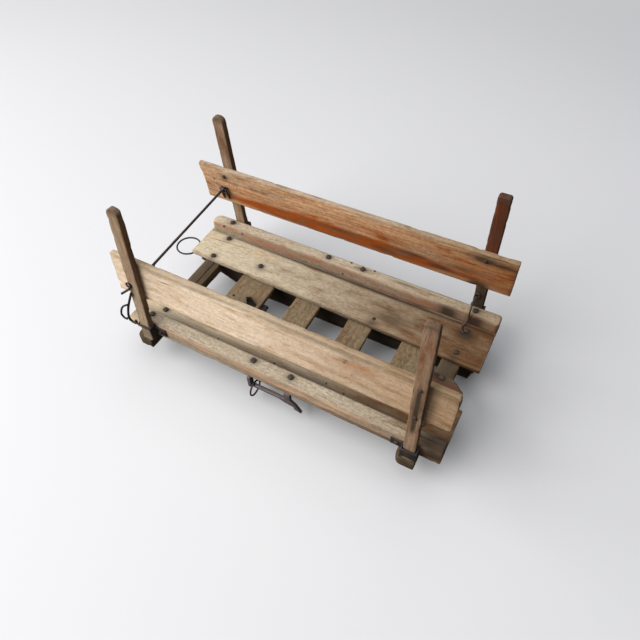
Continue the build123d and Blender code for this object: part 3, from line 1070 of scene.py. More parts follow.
@dataclass
class SlottedSlat(Board):
    """Slat with a broken mortise through it.

    Args:
        mortise: Corners of the mortise.
        reach: How far from the mortise's middle its cuts run.
    """

    mortise: tuple = (
        (0.002, -0.2791), (-0.028, -0.2575), (-0.027, -0.2215), (-0.007, -0.223), (0.012, -0.2633)
    )
    reach: float = 0.05

    def sides(self) -> list[tuple[Vector, Vector]]:
        """Start and end of each side of the mortise."""
        corners = [Vector((*c, 0)) for c in self.mortise]
        return list(zip(corners, corners[1:] + corners[:1]))

    def holds(self, point: Vector) -> bool:
        """Whether a point is inside the mortise."""
        flat = Vector((*point.xy, 0))
        return all((end - start).cross(flat - start).z < 0 for start, end in self.sides())

    def cut(self, bm: Mesh) -> None:
        """Cuts the slat into small faces, then opens the mortise.

        Args:
            bm: The board's mesh.
        """
        super().cut(bm)
        middle = Vector([sum(c) for c in zip(*self.mortise)]) / len(self.mortise)
        for start, end in self.sides():
            faces = [f for f in self.flat(bm) if (f.calc_center_median().xy - middle).length < self.reach]
            along = (end - start).normalized()
            Bench.bisect(bm, faces, start, (along.y, -along.x, 0), CLOSE)
        inside = [f for f in self.flat(bm) if self.holds(f.calc_center_median())]
        bmesh.ops.delete(bm, geom=inside, context="FACES")
        bmesh.ops.bridge_loops(bm, edges=[e for e in bm.edges if e.is_boundary])

    @staticmethod
    def flat(bm: Mesh) -> list:
        """Faces of the slat's top and underside."""
        return [f for f in bm.faces if abs(f.normal.z) > 0.99]


@dataclass
class Rail(Board):
    """Rail with a rounded front end that also slopes down.

    Args:
        nose: Radius of the front corners in plan.
        tail: Radius of the rear corners in plan, or 0 for none.
        top_round: Radius of the top edges.
        under_round: Radius of the lower edges.
        slope: Length of the stretch that slopes down.
        drop: How far it slopes down.
    """

    nose: float = 0.022
    tail: float = 0.0
    top_round: float = 0.007
    under_round: float = 0.0025
    slope: float = 0.05
    drop: float = 0.009

    def prepare(self, bm: Mesh) -> None:
        """Rounds the ends in plan, and the long edges.

        Args:
            bm: The board's mesh.
        """
        Bench.round_edges(bm, Bench.level(Bench.lying(bm, 2), 0, self.low[0]), self.nose, 6)
        if self.tail:
            Bench.round_edges(bm, Bench.level(Bench.lying(bm, 2), 0, self.high[0]), self.tail, 4)
        Bench.round_edges(bm, Bench.level(bm.edges, 2, self.high[2]), self.top_round, 4)
        Bench.round_edges(bm, Bench.level(bm.edges, 2, self.low[2]), self.under_round)

    def shape(self, co: Vector) -> Vector:
        """Slopes the top of the front end down."""
        ahead = max(0.0, 1 - (co.x - self.low[0]) / self.slope)
        return Vector((co.x, co.y, co.z - self.drop * ahead * ahead * self.part(co, 2)))


@dataclass
class Runner(Board):
    """Runner on edge with a rising nose, in axes with Y up and Z outward.

    Args:
        nose: Distance from the front and height of the underside there.
        heel_long: Length of the stretch that the stepped heel takes up.
        heel_high: Height of the heel's step.
        heel_back: How far the heel stands back below the step.
        heel_slant: How much further it stands back at the floor.
    """

    nose: tuple = ((0.0, 0.089), (0.092, 0.0504), (0.156, 0.0252), (0.2, 0.0109), (0.236, 0.005))
    heel_long: float = 0.03
    heel_high: float = 0.034
    heel_back: float = 0.006
    heel_slant: float = 0.008

    def shape(self, co: Vector) -> Vector:
        """Takes the plain box's underside to the rising nose and the heel to its step.

        Args:
            co: A point of the plain box.

        Returns:
            Its place in the outline.
        """
        under = bent_line(self.nose, max(0.0, co.x - self.low[0]))
        y = under + (self.high[1] - under) * self.part(co, 1)
        x = co.x
        past = (x - self.high[0] + self.heel_long) / self.heel_long
        if past > 0 and y < self.heel_high:
            below = (self.heel_high - y) / (self.heel_high - self.low[1])
            x -= past * (self.heel_back + self.heel_slant * below)
        return Vector((x, y, co.z))


@dataclass
class RackBoard(Board):
    """Rack board with well-rounded edges, which may have a split lip or a worn corner.

    Args:
        top_round: Radius of the top edges.
        low_round: Radius of the lower edges.
        end_round: Radius of the ends' edges.
        lip: How far the front end stands back below its lip, or 0 for no lip.
        lip_high: Height of the lip.
        lip_long: Length of the stretch that the lip takes up.
        lip_foot: Height of the step below the lip.
        torn: How far the split end strays.
        corner: Radius of the rear top corner, or 0 for a plain one.
    """

    top_round: float = 0.006
    low_round: float = 0.004
    end_round: float = 0.0025
    lip: float = 0.0
    lip_high: float = 0.032
    lip_long: float = 0.03
    lip_foot: float = 0.006
    torn: float = 0.004
    corner: float = 0.0

    def prepare(self, bm: Mesh) -> None:
        """Rounds the top edges more than the others.

        Args:
            bm: The board's mesh.
        """
        shortest = (self.high[0] - self.low[0]) / 3
        top = Bench.level(Bench.lying(bm, 0, shortest), 1, self.high[1])
        Bench.round_edges(bm, top, self.top_round, 4)
        low = Bench.level(Bench.lying(bm, 0, shortest), 1, self.low[1])
        Bench.round_edges(bm, low, self.low_round, 3)
        Bench.round_edges(bm, Bench.sharp(bm), self.end_round)

    def shape(self, co: Vector) -> Vector:
        """Steps the front end back below the lip, and rounds the rear top corner.

        Args:
            co: A point of the plain box.

        Returns:
            Its place in the outline.
        """
        x, y, z = co
        share = 1 - (x - self.low[0]) / self.lip_long
        below = self.high[1] - self.lip_high - y
        if self.lip and share > 0 and below > -self.lip_foot:
            torn = self.torn * noise.noise(Vector((y * 30, 0, 7))) if below > 0 else 0.0
            x += share * (self.lip + torn)
        corner = self.corner
        if corner and x > self.high[0] - 2 * corner and y > self.high[1] - corner:
            out = (y - self.high[1] + corner) / corner
            x -= 0.8 * corner * out * out * (1 - (self.high[0] - x) / (2 * corner))
        return Vector((x, y, z))


@dataclass
class Stake(Board):
    """Stake with a round top, cut level on its bolster.

    Args:
        top_share: Radius of the top's corners as a share of the width.
        shaded: Depth of the painted shade on the side that faces the rear, away from the light.
    """

    top_share: float = 0.42
    shaded: float = 0.004

    @staticmethod
    def stand(side: Side, foot_x: float, lean_along: float, top: float) -> Matrix:
        """Place of a stake, with X up from its rack's lower edge, Y along the sled and Z outward.

        Args:
            side: The stake's side of the sled.
            foot_x: Place of its foot along the sled.
            lean_along: How far its top leans towards the rear.
            top: Height of its top.

        Returns:
            The matrix from the stake's axes to the frame.
        """
        foot = DECK_UNDER - RACK_Z
        tilt = Matrix.Rotation(math.atan2(lean_along, top - foot), 4, "Y")
        lean = Matrix.Rotation(RACK_LEAN, 4, "X")
        turn = Matrix.Translation((foot_x, 0, foot)) @ tilt @ Matrix.Translation((0, 0, -foot))
        swap = Matrix(((0, 1, 0, 0), (0, 0, 1, 0), (1, 0, 0, 0), (0, 0, 0, 1)))
        return side_matrix(side) @ sled_point(0, RACK_Y, RACK_Z) @ lean @ turn @ swap

    def shade_share(self, co: Vector) -> float:
        """Paints shade on the side that faces the rear, away from the light."""
        return 1 - (self.high[1] - co.y) / self.shaded

    def prepare(self, bm: Mesh) -> None:
        """Rounds the top, then the long edges.

        Args:
            bm: The board's mesh.
        """
        top = Bench.level(Bench.lying(bm, 2), 0, self.high[0])
        Bench.round_edges(bm, top, self.top_share * (self.high[1] - self.low[1]), 8)
        Bench.round_edges(bm, Bench.sharp(bm), self.edge, 3)

    def after(self, bm: Mesh) -> None:
        """Cuts the foot off level on the bolster's top.

        Args:
            bm: The board's mesh.
        """
        bmesh.ops.bisect_plane(
            bm, geom=[*bm.verts, *bm.edges, *bm.faces], plane_co=(0, 0, DECK_UNDER),
            plane_no=(0, 0, 1), clear_inner=True,
        )
        bmesh.ops.holes_fill(bm, edges=[e for e in bm.edges if e.is_boundary], sides=0)


@dataclass
class Bolster(Board):
    """Bolster across the runners with worn round ends, in axes with Y along the sled.

    Args:
        end_round: Radius of the ends' front corners.
        slack: Gap beside a runner in its notch.
    """

    end_round: float = 0.022
    slack: float = 0.001

    def prepare(self, bm: Mesh) -> None:
        """Rounds the front corners of both ends, then every edge a little."""
        Bench.round_edges(bm, Bench.level(Bench.lying(bm, 2), 1, self.low[1]), self.end_round, 6)
        Bench.round_edges(bm, Bench.sharp(bm), self.edge)

    def after(self, bm: Mesh) -> None:
        """Notches the bolster over both runners.

        Args:
            bm: The board's mesh.
        """
        for vert in bm.verts:
            over = RUNNER_IN - self.slack < abs(vert.co.y) < RUNNER_OUT + self.slack
            if over and vert.co.z < RUNNER_TOP:
                vert.co.z = RUNNER_TOP


@dataclass
class Deck:
    """Deck boards, the patch board and the rails.

    Args:
        finishes: The sled's materials.
        far_inner: Inner edge of the far board at the front.
        near_inner: Inner edge of the near board.
        patch_low: Front end and near edge of the patch board.
        patch_high: Rear end and far edge of the patch board.
        near_start: How far the near rail starts behind the deck's front end.
        bolt_dirt: Half lengths of the dirt round a deck bolt.
        rail_dirt: Half lengths of the dirt round a rail bolt.
    """

    finishes: Finishes
    far_inner: float = 0.099
    near_inner: float = -0.096
    patch_low: tuple = (0.43, -0.0955)
    patch_high: tuple = (0.587, 0.002)
    near_start: float = 0.058
    bolt_dirt: tuple = (0.02, 0.016)
    rail_dirt: tuple = (0.018, 0.014)

    def far_board(self) -> Board:
        """The far board, with its splits and stains."""
        bolts = (
            (-0.503, 0.221), (-0.503, 0.112), (-0.304, 0.148), (0.503, 0.106), (0.505, 0.208), (0.196, 0.111)
        )
        return FarDeck(
            "far_deck", (FRONT_X, self.far_inner, DECK_UNDER), (REAR_X, DECK_SIDE, DECK_TOP),
            ALONG_SLED, self.finishes.deck, seed=1.0, shade_span=(-0.35, 0.5),
            cracks=splits(
                (-0.603, 0.191, -0.395, 0.211, 0.0013, 0.010),
                (-0.62, 0.2393, 0.66, 0.2393, 0.0016, 0.008, 0.0002),
                (-0.172, 0.095, 0.026, 0.097, 0.0009, 0.004),
                (0.30, 0.152, 0.47, 0.146, 0.0008, 0.003),
            ),
            marks=[
                *patches(Patina.STAIN, *((x, y, *self.bolt_dirt, 0.75) for x, y in bolts)),
                *patches(
                    Patina.STAIN,
                    (0.508, 0.204, 0.03, 0.018, 1.4),
                    (0.25, 0.15, 0.06, 0.022, 0.65),
                    (0.0, 0.239, 0.75, 0.0065, 0.9, 1.5),
                ),
                Mark(Patina.PALE, -0.1, 0.15, 0.35, 0.08, 0.5),
                Mark(Patina.RUST, 0.26, 0.10, 0.16, 0.03, 0.35),
            ],
        )

    def near_board(self) -> Board:
        """The near board, with its splits, stains and painted shadow under the near rack."""
        return Board(
            "near_deck", (FRONT_X, -DECK_SIDE, DECK_UNDER), (REAR_X, self.near_inner, DECK_TOP),
            ALONG_SLED, self.finishes.deck, seed=2.0, shade_span=(-0.2, 0.5),
            cracks=splits(
                (0.25, -0.16, 0.61, -0.155, 0.0012, 0.008),
                (-0.62, -0.2393, 0.66, -0.2393, 0.0016, 0.008, 0.0002),
            ),
            marks=patches(
                Patina.STAIN,
                (-0.497, -0.197, *self.bolt_dirt, 0.8),
                (-0.5, -0.118, *self.bolt_dirt, 0.7),
                # The strip under the near rack: dirt, darkened further as painted shadow of the rack.
                (0.0, -0.242, 0.75, 0.045, 0.8, 1.6),
            ),
        )

    def patch(self) -> Board:
        """The short board over the rear bolster, darkened by its tone as painted shadow of the near rack."""
        return Patch(
            "deck_patch", (*self.patch_low, DECK_UNDER), (*self.patch_high, DECK_TOP), ALONG_SLED,
            # The low tone is painted shadow of the near rack.
            self.finishes.rail, seed=3.0, tone=0.36,
            marks=[
                Mark(Patina.RUST, 0.52, -0.04, 0.2, 0.1, 0.9),
                Mark(Patina.STAIN, 0.498, -0.012, 0.03, 0.02, 0.9),
            ],
        )

    def far_rail(self) -> Board:
        """The rail on the far board's outer edge."""
        bolts = (-0.508, -0.07, 0.073, 0.508)
        return Rail(
            "far_rail", (FRONT_X, RAIL_IN, DECK_TOP), (REAR_X, RAIL_OUT, RAIL_TOP), ALONG_SLED,
            self.finishes.rail, seed=4.0, shade_span=(0.1, 0.8), tail=0.012,
            cracks=splits(
                (-0.05, 0.262, 0.12, 0.264, 0.0008, 0.004), (0.2, 0.276, 0.42, 0.272, 0.001, 0.005)
            ),
            marks=[
                *patches(Patina.STAIN, *((x, 0.27, *self.rail_dirt, 0.7) for x in bolts)),
                *patches(
                    Patina.STAIN,
                    (0.25, 0.272, 0.06, 0.006, 0.6),
                    (0.42, 0.243, 0.035, 0.005, 1.2),
                    (0.52, 0.243, 0.03, 0.006, 1.2),
                ),
                Mark(Patina.RUST, 0.0, 0.240, 0.75, 0.009, 0.62, 2.0),
            ],
        )

    def near_rail(self) -> Board:
        """The rail on the near board's outer edge, which starts further back."""
        bolts = (-0.493, -0.067, 0.075, 0.508)
        return Rail(
            "near_rail", (FRONT_X + self.near_start, -RAIL_OUT, DECK_TOP), (REAR_X, -RAIL_IN, RAIL_TOP),
            ALONG_SLED, self.finishes.near_rail, seed=5.0, shade_span=(0.2, 0.7),
            cracks=splits((0.4, -0.266, 0.61, -0.262, 0.0010, 0.006)),
            marks=[
                *patches(Patina.STAIN, *((x, -0.264, *self.rail_dirt, 0.7) for x in bolts)),
                # Painted shadow of the near rear stake on the rail's rear end.
                Mark(Patina.STAIN, 0.62, -0.267, 0.1, 0.06, 1.1, 3.0),
                Mark(Patina.RUST, 0.1, -0.296, 0.9, 0.006, 0.6, 2.0),
            ],
        )

    def build(self) -> None:
        """Builds every board."""
        for make in (self.far_board, self.near_board, self.patch, self.far_rail, self.near_rail):
            make().build()


@dataclass
class Undercarriage:
    """Cross slats, bolsters, runners and their shoes.

    Args:
        finishes: The sled's materials.
        slats: Node, front edge and width of each slat.
        slat_half: Half length of a slat.
        slat_darkening: Distance from the middle of the darker patches over the runners, where the slats pass
            under the deck boards.
        bolster_x: Distance of a bolster from the middle of the deck.
        bolster_half: Half length of a bolster.
        bolster_reach: Half width of a bolster.
        bolster_under: Height of a bolster's underside.
        runner_low: Front end and underside of a runner.
        runner_rear: Rear end of a runner.
        stub_low: Lowest corner of the broken tenon.
        stub_high: Highest corner of the broken tenon.
        stub_round: Radius of the broken tenon's edges.
    """

    finishes: Finishes
    slats: tuple = (
        ("slat_2", -0.354, 0.144), ("slat_3", -0.111, 0.102),
        ("slat_4", 0.109, 0.094), ("slat_5", 0.319, 0.095),
    )
    slat_half: float = 0.268
    slat_darkening: float = 0.13
    bolster_x: float = 0.5
    bolster_half: float = 0.328
    bolster_reach: float = 0.0325
    bolster_under: float = 0.092
    runner_low: tuple = (-0.586, 0.005)
    runner_rear: float = 0.578
    stub_low: tuple = (-0.286, -0.034, 0.0985)
    stub_high: tuple = (-0.192, 0.016, 0.1119)
    stub_round: float = 0.003

    def slat(self, number: int) -> Board:
        """Makes one of the thin slats under the deck boards.

        Args:
            number: Its place in the list of slats.

        Returns:
            The slat.
        """
        node, front, width = self.slats[number]
        # Darker patches on the slat over the runners, next to the deck boards' inner edges.
        rows = [(y, front + width / 2, 0.05, width, 0.45) for y in (-self.slat_darkening, self.slat_darkening)]
        kind = Board
        if number == 0:
            kind = SlottedSlat
            rows.append((-0.008, -0.25, 0.026, 0.034, 0.6, 2.0))
        return kind(
            node, (-self.slat_half, front, RUNNER_TOP), (self.slat_half, front + width, DECK_UNDER),
            ACROSS_SLED, self.finishes.cross, seed=6.0 + number, marks=patches(Patina.STAIN, *rows),
        )

    def bolster(self, node: str, x: float, seed: float) -> Board:
        """Makes one of the thick bolsters at both ends. The front one is split.

        Args:
            node: The CAD node.
            x: Its place along the sled.
            seed: Number that makes its wear its own.

        Returns:
            The bolster.
        """
        split = splits((-0.34, x + 0.0075, 0.34, x + 0.0075, 0.0030, 0.007, 0.001)) if x < 0 else []
        return Bolster(
            node, (-self.bolster_half, x - self.bolster_reach, self.bolster_under),
            (self.bolster_half, x + self.bolster_reach, DECK_UNDER), ACROSS_SLED, self.finishes.cross,
            seed=seed, cracks=split, tone=0.6,
            marks=patches(Patina.STAIN, *((y, x, 0.035, 0.05, 0.55, 1.5) for y in (-0.31, 0.31))),
        )

    def runner(self, node: str, side: Side, seed: float) -> Board:
        """Makes one of the runners under the bolsters.

        Args:
            node: The CAD node.
            side: Its side of the sled.
            seed: Number that makes its wear its own.

        Returns:
            The runner.
        """
        swap = Matrix(((1, 0, 0, MID_X), (0, 0, 1, 0), (0, 1, 0, 0), (0, 0, 0, 1)))
        return Runner(
            node, (*self.runner_low, RUNNER_IN), (self.runner_rear, RUNNER_TOP, RUNNER_OUT),
            side_matrix(side) @ swap, self.finishes.runner, seed=seed, step=0.012,
        )

    def stub(self) -> None:
        """Builds the dark stub of a tenon under the mortise."""
        bm = Bench.box(self.stub_low, self.stub_high)
        bmesh.ops.translate(bm, vec=(MID_X, 0, 0), verts=bm.verts)
        Bench.round_edges(bm, list(bm.edges), self.stub_round)
        Bench.finish(bm, "broken_tenon", self.finishes.tenon, (), Slot.WEATHERED)

    def build(self) -> None:
        """Builds the timbers, and dresses the shoes."""
        for number in range(len(self.slats)):
            self.slat(number).build()
        self.bolster("front_bolster", -self.bolster_x, 10.0).build()
        self.bolster("rear_bolster", self.bolster_x, 11.0).build()
        self.runner("far_runner", Side.FAR, 12.0).build()
        self.runner("near_runner", Side.NEAR, 13.0).build()
        for node in ("far_shoe", "near_shoe"):
            Ironwork.dress(node, self.finishes.iron)
        self.stub()


@dataclass
class Racks:
    """Rack boards and the stakes that hold them.

    Args:
        finishes: The sled's materials.
        near_start: How far the near board starts behind the deck's front end.
        board_edge: Radius of a board's edges.
        far_lip: How far the far board's front end stands back below its lip.
        near_corner: Radius of the near board's rear top corner.
        front_wide: Width of a front stake.
        rear_wide: Width of a rear stake.
        spare: Length of a stake before its foot is cut level, as a share of its height.
        square_top: Radius of the rear stakes' tops as a share of their width.
    """

    finishes: Finishes
    near_start: float = 0.03
    board_edge: float = 0.004
    far_lip: float = 0.008
    near_corner: float = 0.007
    front_wide: float = 0.044
    rear_wide: float = 0.040
    spare: float = 1.15
    square_top: float = 0.22

    def far_board(self) -> Board:
        """The far board, oiled orange along its lower half and with a split lip at its front."""
        return RackBoard(
            "far_rack_board", (FRONT_X, 0.0, 0.0), (REAR_X, RACK_HIGH, RACK_THICK),
            rack_place(Side.FAR, FAR_RACK_DIP), self.finishes.far_rack, Slot.STAINED, seed=14.0,
            edge=self.board_edge, lip=self.far_lip, shade_span=(0.0, 0.6),
            marks=[
                *patches(
                    Patina.RUST,
                    (-0.02, 0.032, 0.46, 0.031, 1.35, 3.0),
                    (-0.22, 0.075, 0.2, 0.02, 0.35),
                    (0.12, 0.085, 0.2, 0.02, 0.4),
                    (0.46, 0.06, 0.2, 0.05, 0.35, 1.5),
                ),
                *patches(
                    Patina.STAIN,
                    (0.40, 0.030, 0.20, 0.022, 0.3, 1.5),
                    (0.26, 0.052, 0.06, 0.009, 0.9),
                    (0.36, 0.034, 0.06, 0.010, 0.9),
                    (0.43, 0.060, 0.05, 0.009, 0.8),
                    (0.15, 0.026, 0.06, 0.008, 0.8),
                    (-0.02, 0.046, 0.05, 0.007, 0.7),
                    (0.0, 0.0, 0.62, 0.0035, 0.9, 2.0),
                    (0.1, 0.165, 0.7, 0.008, 0.2),
                    (-0.492, 0.123, 0.018, 0.012, 0.8),
                    (-0.497, 0.04, 0.02, 0.03, 0.7),
                    (0.498, 0.132, 0.04, 0.014, 1.5),
                    (0.555, 0.128, 0.05, 0.009, 1.2),
                    (0.492, 0.008, 0.035, 0.018, 1.5),
                ),
                *patches(
                    Patina.PALE,
                    (0.30, 0.080, 0.10, 0.014, 0.8),
                    (0.52, 0.060, 0.05, 0.020, 0.7),
                    (-0.55, 0.06, 0.09, 0.08, 0.45),
                    (0.0, 0.162, 0.8, 0.010, 1.0),
                    (-0.2, 0.120, 0.42, 0.022, 0.35),
                ),
            ],
        )

    def near_board(self) -> Board:
        """The near board, pale and with a row of short splits."""
        return RackBoard(
            "near_rack_board", (FRONT_X + self.near_start, 0.0, 0.0), (REAR_X, RACK_HIGH, RACK_THICK),
            rack_place(Side.NEAR), self.finishes.near_rack, Slot.PALE, seed=15.0,
            edge=self.board_edge, corner=self.near_corner, shade_span=(-0.1, 0.54),
            cracks=splits(
                (-0.180, 0.074, -0.158, 0.073, 0.0011, 0.004),
                (-0.150, 0.070, -0.132, 0.068, 0.0013, 0.005),
                (-0.118, 0.079, -0.104, 0.079, 0.0009, 0.004),
                (-0.096, 0.071, -0.082, 0.070, 0.0010, 0.004),
                (0.255, 0.118, 0.330, 0.119, 0.0006, 0.002),
                (0.470, 0.060, 0.600, 0.056, 0.0007, 0.003),
            ),
            marks=[
                *patches(
                    Patina.STAIN,
                    (0.1, 0.165, 0.7, 0.008, 0.15),
                    (0.275, 0.115, 0.008, 0.005, 0.9),
                    # Around the front stake: dirt, with painted shadow of the stake.
                    (-0.485, 0.08, 0.03, 0.1, 0.4),
                    # Right of the rear stake: painted shadow of the stake.
                    (0.535, 0.08, 0.012, 0.1, 0.5),
                ),
                Mark(Patina.PALE, 0.0, 0.172, 0.8, 0.036, 1.0),
                Mark(Patina.RUST, 0.32, 0.10, 0.08, 0.03, 0.45),
                Mark(Patina.RUST, 0.18, 0.05, 0.14, 0.012, 0.3),
            ],
        )

    def stake(
        self, node: str, foot_x: float, lean_along: float, top: float, seed: float, rust: float,
        slot: Slot = Slot.PALE, tone: float = 1.0, marks: tuple = (),
    ) -> None:
        """Builds a stake.

        Args:
            node: The CAD node, whose first word is its side.
            foot_x: Place of its foot along the sled.
            lean_along: How far its top leans towards the rear.
            top: Height of its top over the rack's lower edge.
            seed: Number that makes its wear its own.
            rust: Strength of its reddish upper part.
            slot: The stake's material slot.
            tone: Brightness against its finish.
            marks: Patches of its own.
        """
        side = Side.FAR if node.startswith("far") else Side.NEAR
        half = (self.front_wide if foot_x < 0 else self.rear_wide) / 2
        foot = (DECK_UNDER - RACK_Z) * self.spare
        Stake(
            node, (foot, -half, STAKE_IN), (top, half, STAKE_OUT), Stake.stand(side, foot_x, lean_along, top),
            self.finishes.stake, slot, seed=seed, step=0.007, edge=0.0035, tone=tone,
            top_share=self.square_top if foot_x > 0 else Stake.top_share,
            marks=[
                Mark(Patina.RUST, 0.22, 0.0, 0.26, 0.05, rust, 2.0),
                Mark(Patina.STAIN, -0.16, 0.0, 0.04, 0.04, 0.5),
                Mark(Patina.STAIN, top, 0.0, 0.018, 0.05, 0.7),
                *marks,
            ],
        ).build()

    def build(self) -> None:
        """Builds the boards and the stakes."""
        self.far_board().build()
        self.near_board().build()
        self.stake("far_front_stake", -0.490, 0.014, 0.366, 16.0, 0.2)
        self.stake(
            "far_rear_stake", 0.506, -0.005, 0.384, 17.0, 1.0, Slot.STAINED, 0.85,
            (Mark(Patina.STAIN, -0.1, 0.0, 0.095, 0.05, 1.0, 2.0),),
        )
        self.stake(
            "near_front_stake", -0.483, 0.008, 0.366, 18.0, 0.15,
            marks=(Mark(Patina.PALE, -0.09, 0.0, 0.1, 0.05, 0.8),),
        )
        iron_stain = ((0.085, 0.0, 0.075, 0.010, 1.3, 2.0), (-0.005, -0.002, 0.045, 0.008, 1.2, 2.0))
        self.stake(
            "near_rear_stake", 0.508, -0.018, 0.392, 19.0, 0.3, tone=0.95,
            marks=tuple(patches(Patina.STAIN, *iron_stain)),
        )


@dataclass(frozen=True)
class Nut:
    """Worn square nut on a bolt's end. Its other sizes are shares of its width or height.

    Args:
        wide: Width over the flats.
        high: Height with the bolt's end.
        body: Height of the nut alone.
        corner: Radius of its upright corners.
        rim: Radius of its top edge.
        bolt: Radius of the bolt's end below and above.
        bolt_high: Height of the bolt's end.
        bolt_middle: Height of its middle.
        crown: Radius of its top edge.
    """

    wide: float
    high: float
    body: float = 0.72
    corner: float = 0.3
    rim: float = 0.22
    bolt: tuple = (0.27, 0.25)
    bolt_high: float = 0.5
    bolt_middle: float = 0.74
    crown: float = 0.12

    def add(self, bm: Mesh, place: Matrix, turn: float) -> None:
        """Adds the nut to a mesh.

        Args:
            bm: The mesh.
            place: Matrix of its seat, with Z out of the wood.
            turn: Angle that it is turned by.
        """
        half, top = self.wide / 2, self.high * self.body
        part = Bench.box((-half, -half, 0), (half, half, top))
        Bench.round_edges(part, Bench.lying(part, 2, top / 2), self.wide * self.corner, 4)
        Bench.round_edges(part, Bench.level(part.edges, 2, top), self.high * self.rim)
        bmesh.ops.rotate(part, verts=part.verts, matrix=Matrix.Rotation(turn, 3, "Z"))
        bmesh.ops.create_cone(
            part, cap_ends=True, segments=14, radius1=self.wide * self.bolt[0],
            radius2=self.wide * self.bolt[1], depth=self.high * self.bolt_high,
            matrix=Matrix.Translation((0, 0, self.high * self.bolt_middle)),
        )
        end = self.high * (self.bolt_middle + self.bolt_high / 2)
        Bench.round_edges(part, Bench.level(part.edges, 2, end), self.high * self.crown)
        bmesh.ops.transform(part, matrix=place, verts=part.verts)
        Bench.join(bm, part)


@dataclass
class Ironwork:
    """Bolts, irons, rings, hooks and rods.

    Args:
        finishes: The sled's materials.
        nut_fit: Width of a nut as a share of its CAD head.
        leaning_nut: Thickness and width of a head that leans with the racks.
        iron_edge: Radius of the edges of the stake irons.
        bar_edge: Radius of the edges of the hook bar and its lugs.
        nail_high: Height of a nail's head.
        rack_nail: Radius of a nail's head in a rack.
        rail_nail: Radius of a nail's head in a rail.
        deck_nail: Radius of a nail's head in the deck.
        loose_pin: Radius of a pin in a rail's top.
        thick_pin: Radius of the pin in the far deck board.
        peg: Radius of the slat's peg.
        rack_holes: Nails in the far rack's inner face, along it and up it.
        near_rack_hole: The nail in the near rack's outer face.
        rail_holes: Nails in the far rail's inner face, along the sled and up.
        pins: Pins in the far rail's top.
        pin_drop: How far they are sunk.
        deck_holes: Nail heads in the strip of near deck under the rack.
        deck_pin: The pin in the far deck board.
        slat_peg: The peg in the front part of the slotted slat.
        peg_rise: How far its middle stands over the slat.
    """

    finishes: Finishes
    nut_fit: float = 0.86
    leaning_nut: tuple = (0.006, 0.015)
    iron_edge: float = 0.0012
    bar_edge: float = 0.0014
    nail_high: float = 0.0016
    rack_nail: float = 0.0026
    rail_nail: float = 0.0055
    deck_nail: float = 0.005
    loose_pin: float = 0.0062
    thick_pin: float = 0.009
    peg: float = 0.006
    rack_holes: tuple = ((-0.548, 0.118), (-0.545, 0.098), (-0.543, 0.103), (-0.479, 0.09), (-0.446, 0.085))
    near_rack_hole: tuple = (0.27, 0.106)
    rail_holes: tuple = ((-0.535, 0.188), (-0.447, 0.183), (0.004, 0.168))
    pins: tuple = ((0.020, 0.284), (0.116, 0.284))
    pin_drop: float = 0.0006
    deck_holes: tuple = (
        (-0.021, -0.216), (0.172, -0.206), (0.329, -0.219), (0.06, -0.222), (0.24, -0.214), (-0.25, -0.219)
    )
    deck_pin: tuple = (0.196, 0.111)
    slat_peg: tuple = (-0.326, -0.013)
    peg_rise: float = 0.001

    @staticmethod
    def dress(node: str, material: Material) -> None:
        """Gives a CAD node that keeps its shape its material.

        Args:
            node: The CAD node.
            material: The material.
        """
        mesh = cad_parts[node].data
        mesh.materials.clear()
        mesh.materials.append(material)
        log.info("%s: dressed", node)

    @staticmethod
    def loose_parts(node: str) -> list[tuple[Vector, Vector]]:
        """Finds the separate solids of a CAD node.

        Args:
            node: The CAD node.

        Returns:
            The lowest and highest corner of each solid, in the frame.
        """
        bm = Bench.copy_node(node)
        left, found = set(bm.verts), []
        while left:
            group, queue = [], [left.pop()]
            while queue:
                vert = queue.pop()
                group.append(vert.co.copy())
                for edge in vert.link_edges:
                    other = edge.other_vert(vert)
                    if other in left:
                        left.remove(other)
                        queue.append(other)
            corners = [Vector([pick(c[i] for c in group) for i in range(3)]) for pick in (min, max)]
            found.append(tuple(corners))
        bm.free()
        return sorted(found, key=lambda b: tuple(round(c, 5) for c in b[0]))

    def nuts(self, node: str, normal: Vector) -> None:
        """Replaces a node of bolt heads with worn nuts.

        Args:
            node: The CAD node.
            normal: Direction that the heads face on the far side; the near side's face is mirrored.
        """
        bm = bmesh.new()
        for number, (low, high) in enumerate(self.loose_parts(node)):
            middle, size, way = (low + high) / 2, high - low, normal.copy()
            if middle.y < 0:
                way.y = -way.y
            facing = max(range(3), key=lambda i: abs(way[i]))
            thick, across = size[facing], size[0 if facing else 1]
            if facing == 1 and way.z:
                thick, across = self.leaning_nut
            up = way.to_track_quat("Z", "Y").to_matrix().to_4x4()
            seat = Matrix.Translation(middle - way * thick / 2) @ up
            Nut(across * self.nut_fit, thick).add(bm, seat, 0.5 * math.sin(7.1 * number + 1))
        Bench.finish(bm, node + "_worn", self.finishes.nut_iron, (node,), Slot.IRON)

    def softened(self, node: str, material: Material, radius: float) -> None:
        """Replaces a flat-sided iron node with a copy whose edges are worn.

        Args:
            node: The CAD node.
            material: Its material.
            radius: Radius of the worn edges.
        """
        bm = Bench.copy_node(node)
        bmesh.ops.dissolve_limit(bm, angle_limit=math.radians(1), verts=bm.verts, edges=bm.edges)
        Bench.round_edges(bm, Bench.sharp(bm, math.radians(30)), radius)
        Bench.finish(bm, node + "_worn", material, (node,), Slot.IRON)

    def nails(self, name: str, radius: float, places: list[Matrix]) -> None:
        """Adds small nail heads as one piece.

        Args:
            name: The piece's name.
            radius: Radius of a head.
            places: Matrix of each nail, with Z out of the wood.
        """
        bm = bmesh.new()
        for place in places:
            bmesh.ops.create_cone(
                bm, cap_ends=True, segments=10, radius1=radius, radius2=0.7 * radius,
                depth=self.nail_high, matrix=place,
            )
        Bench.finish(bm, name, self.finishes.iron, (), Slot.IRON)

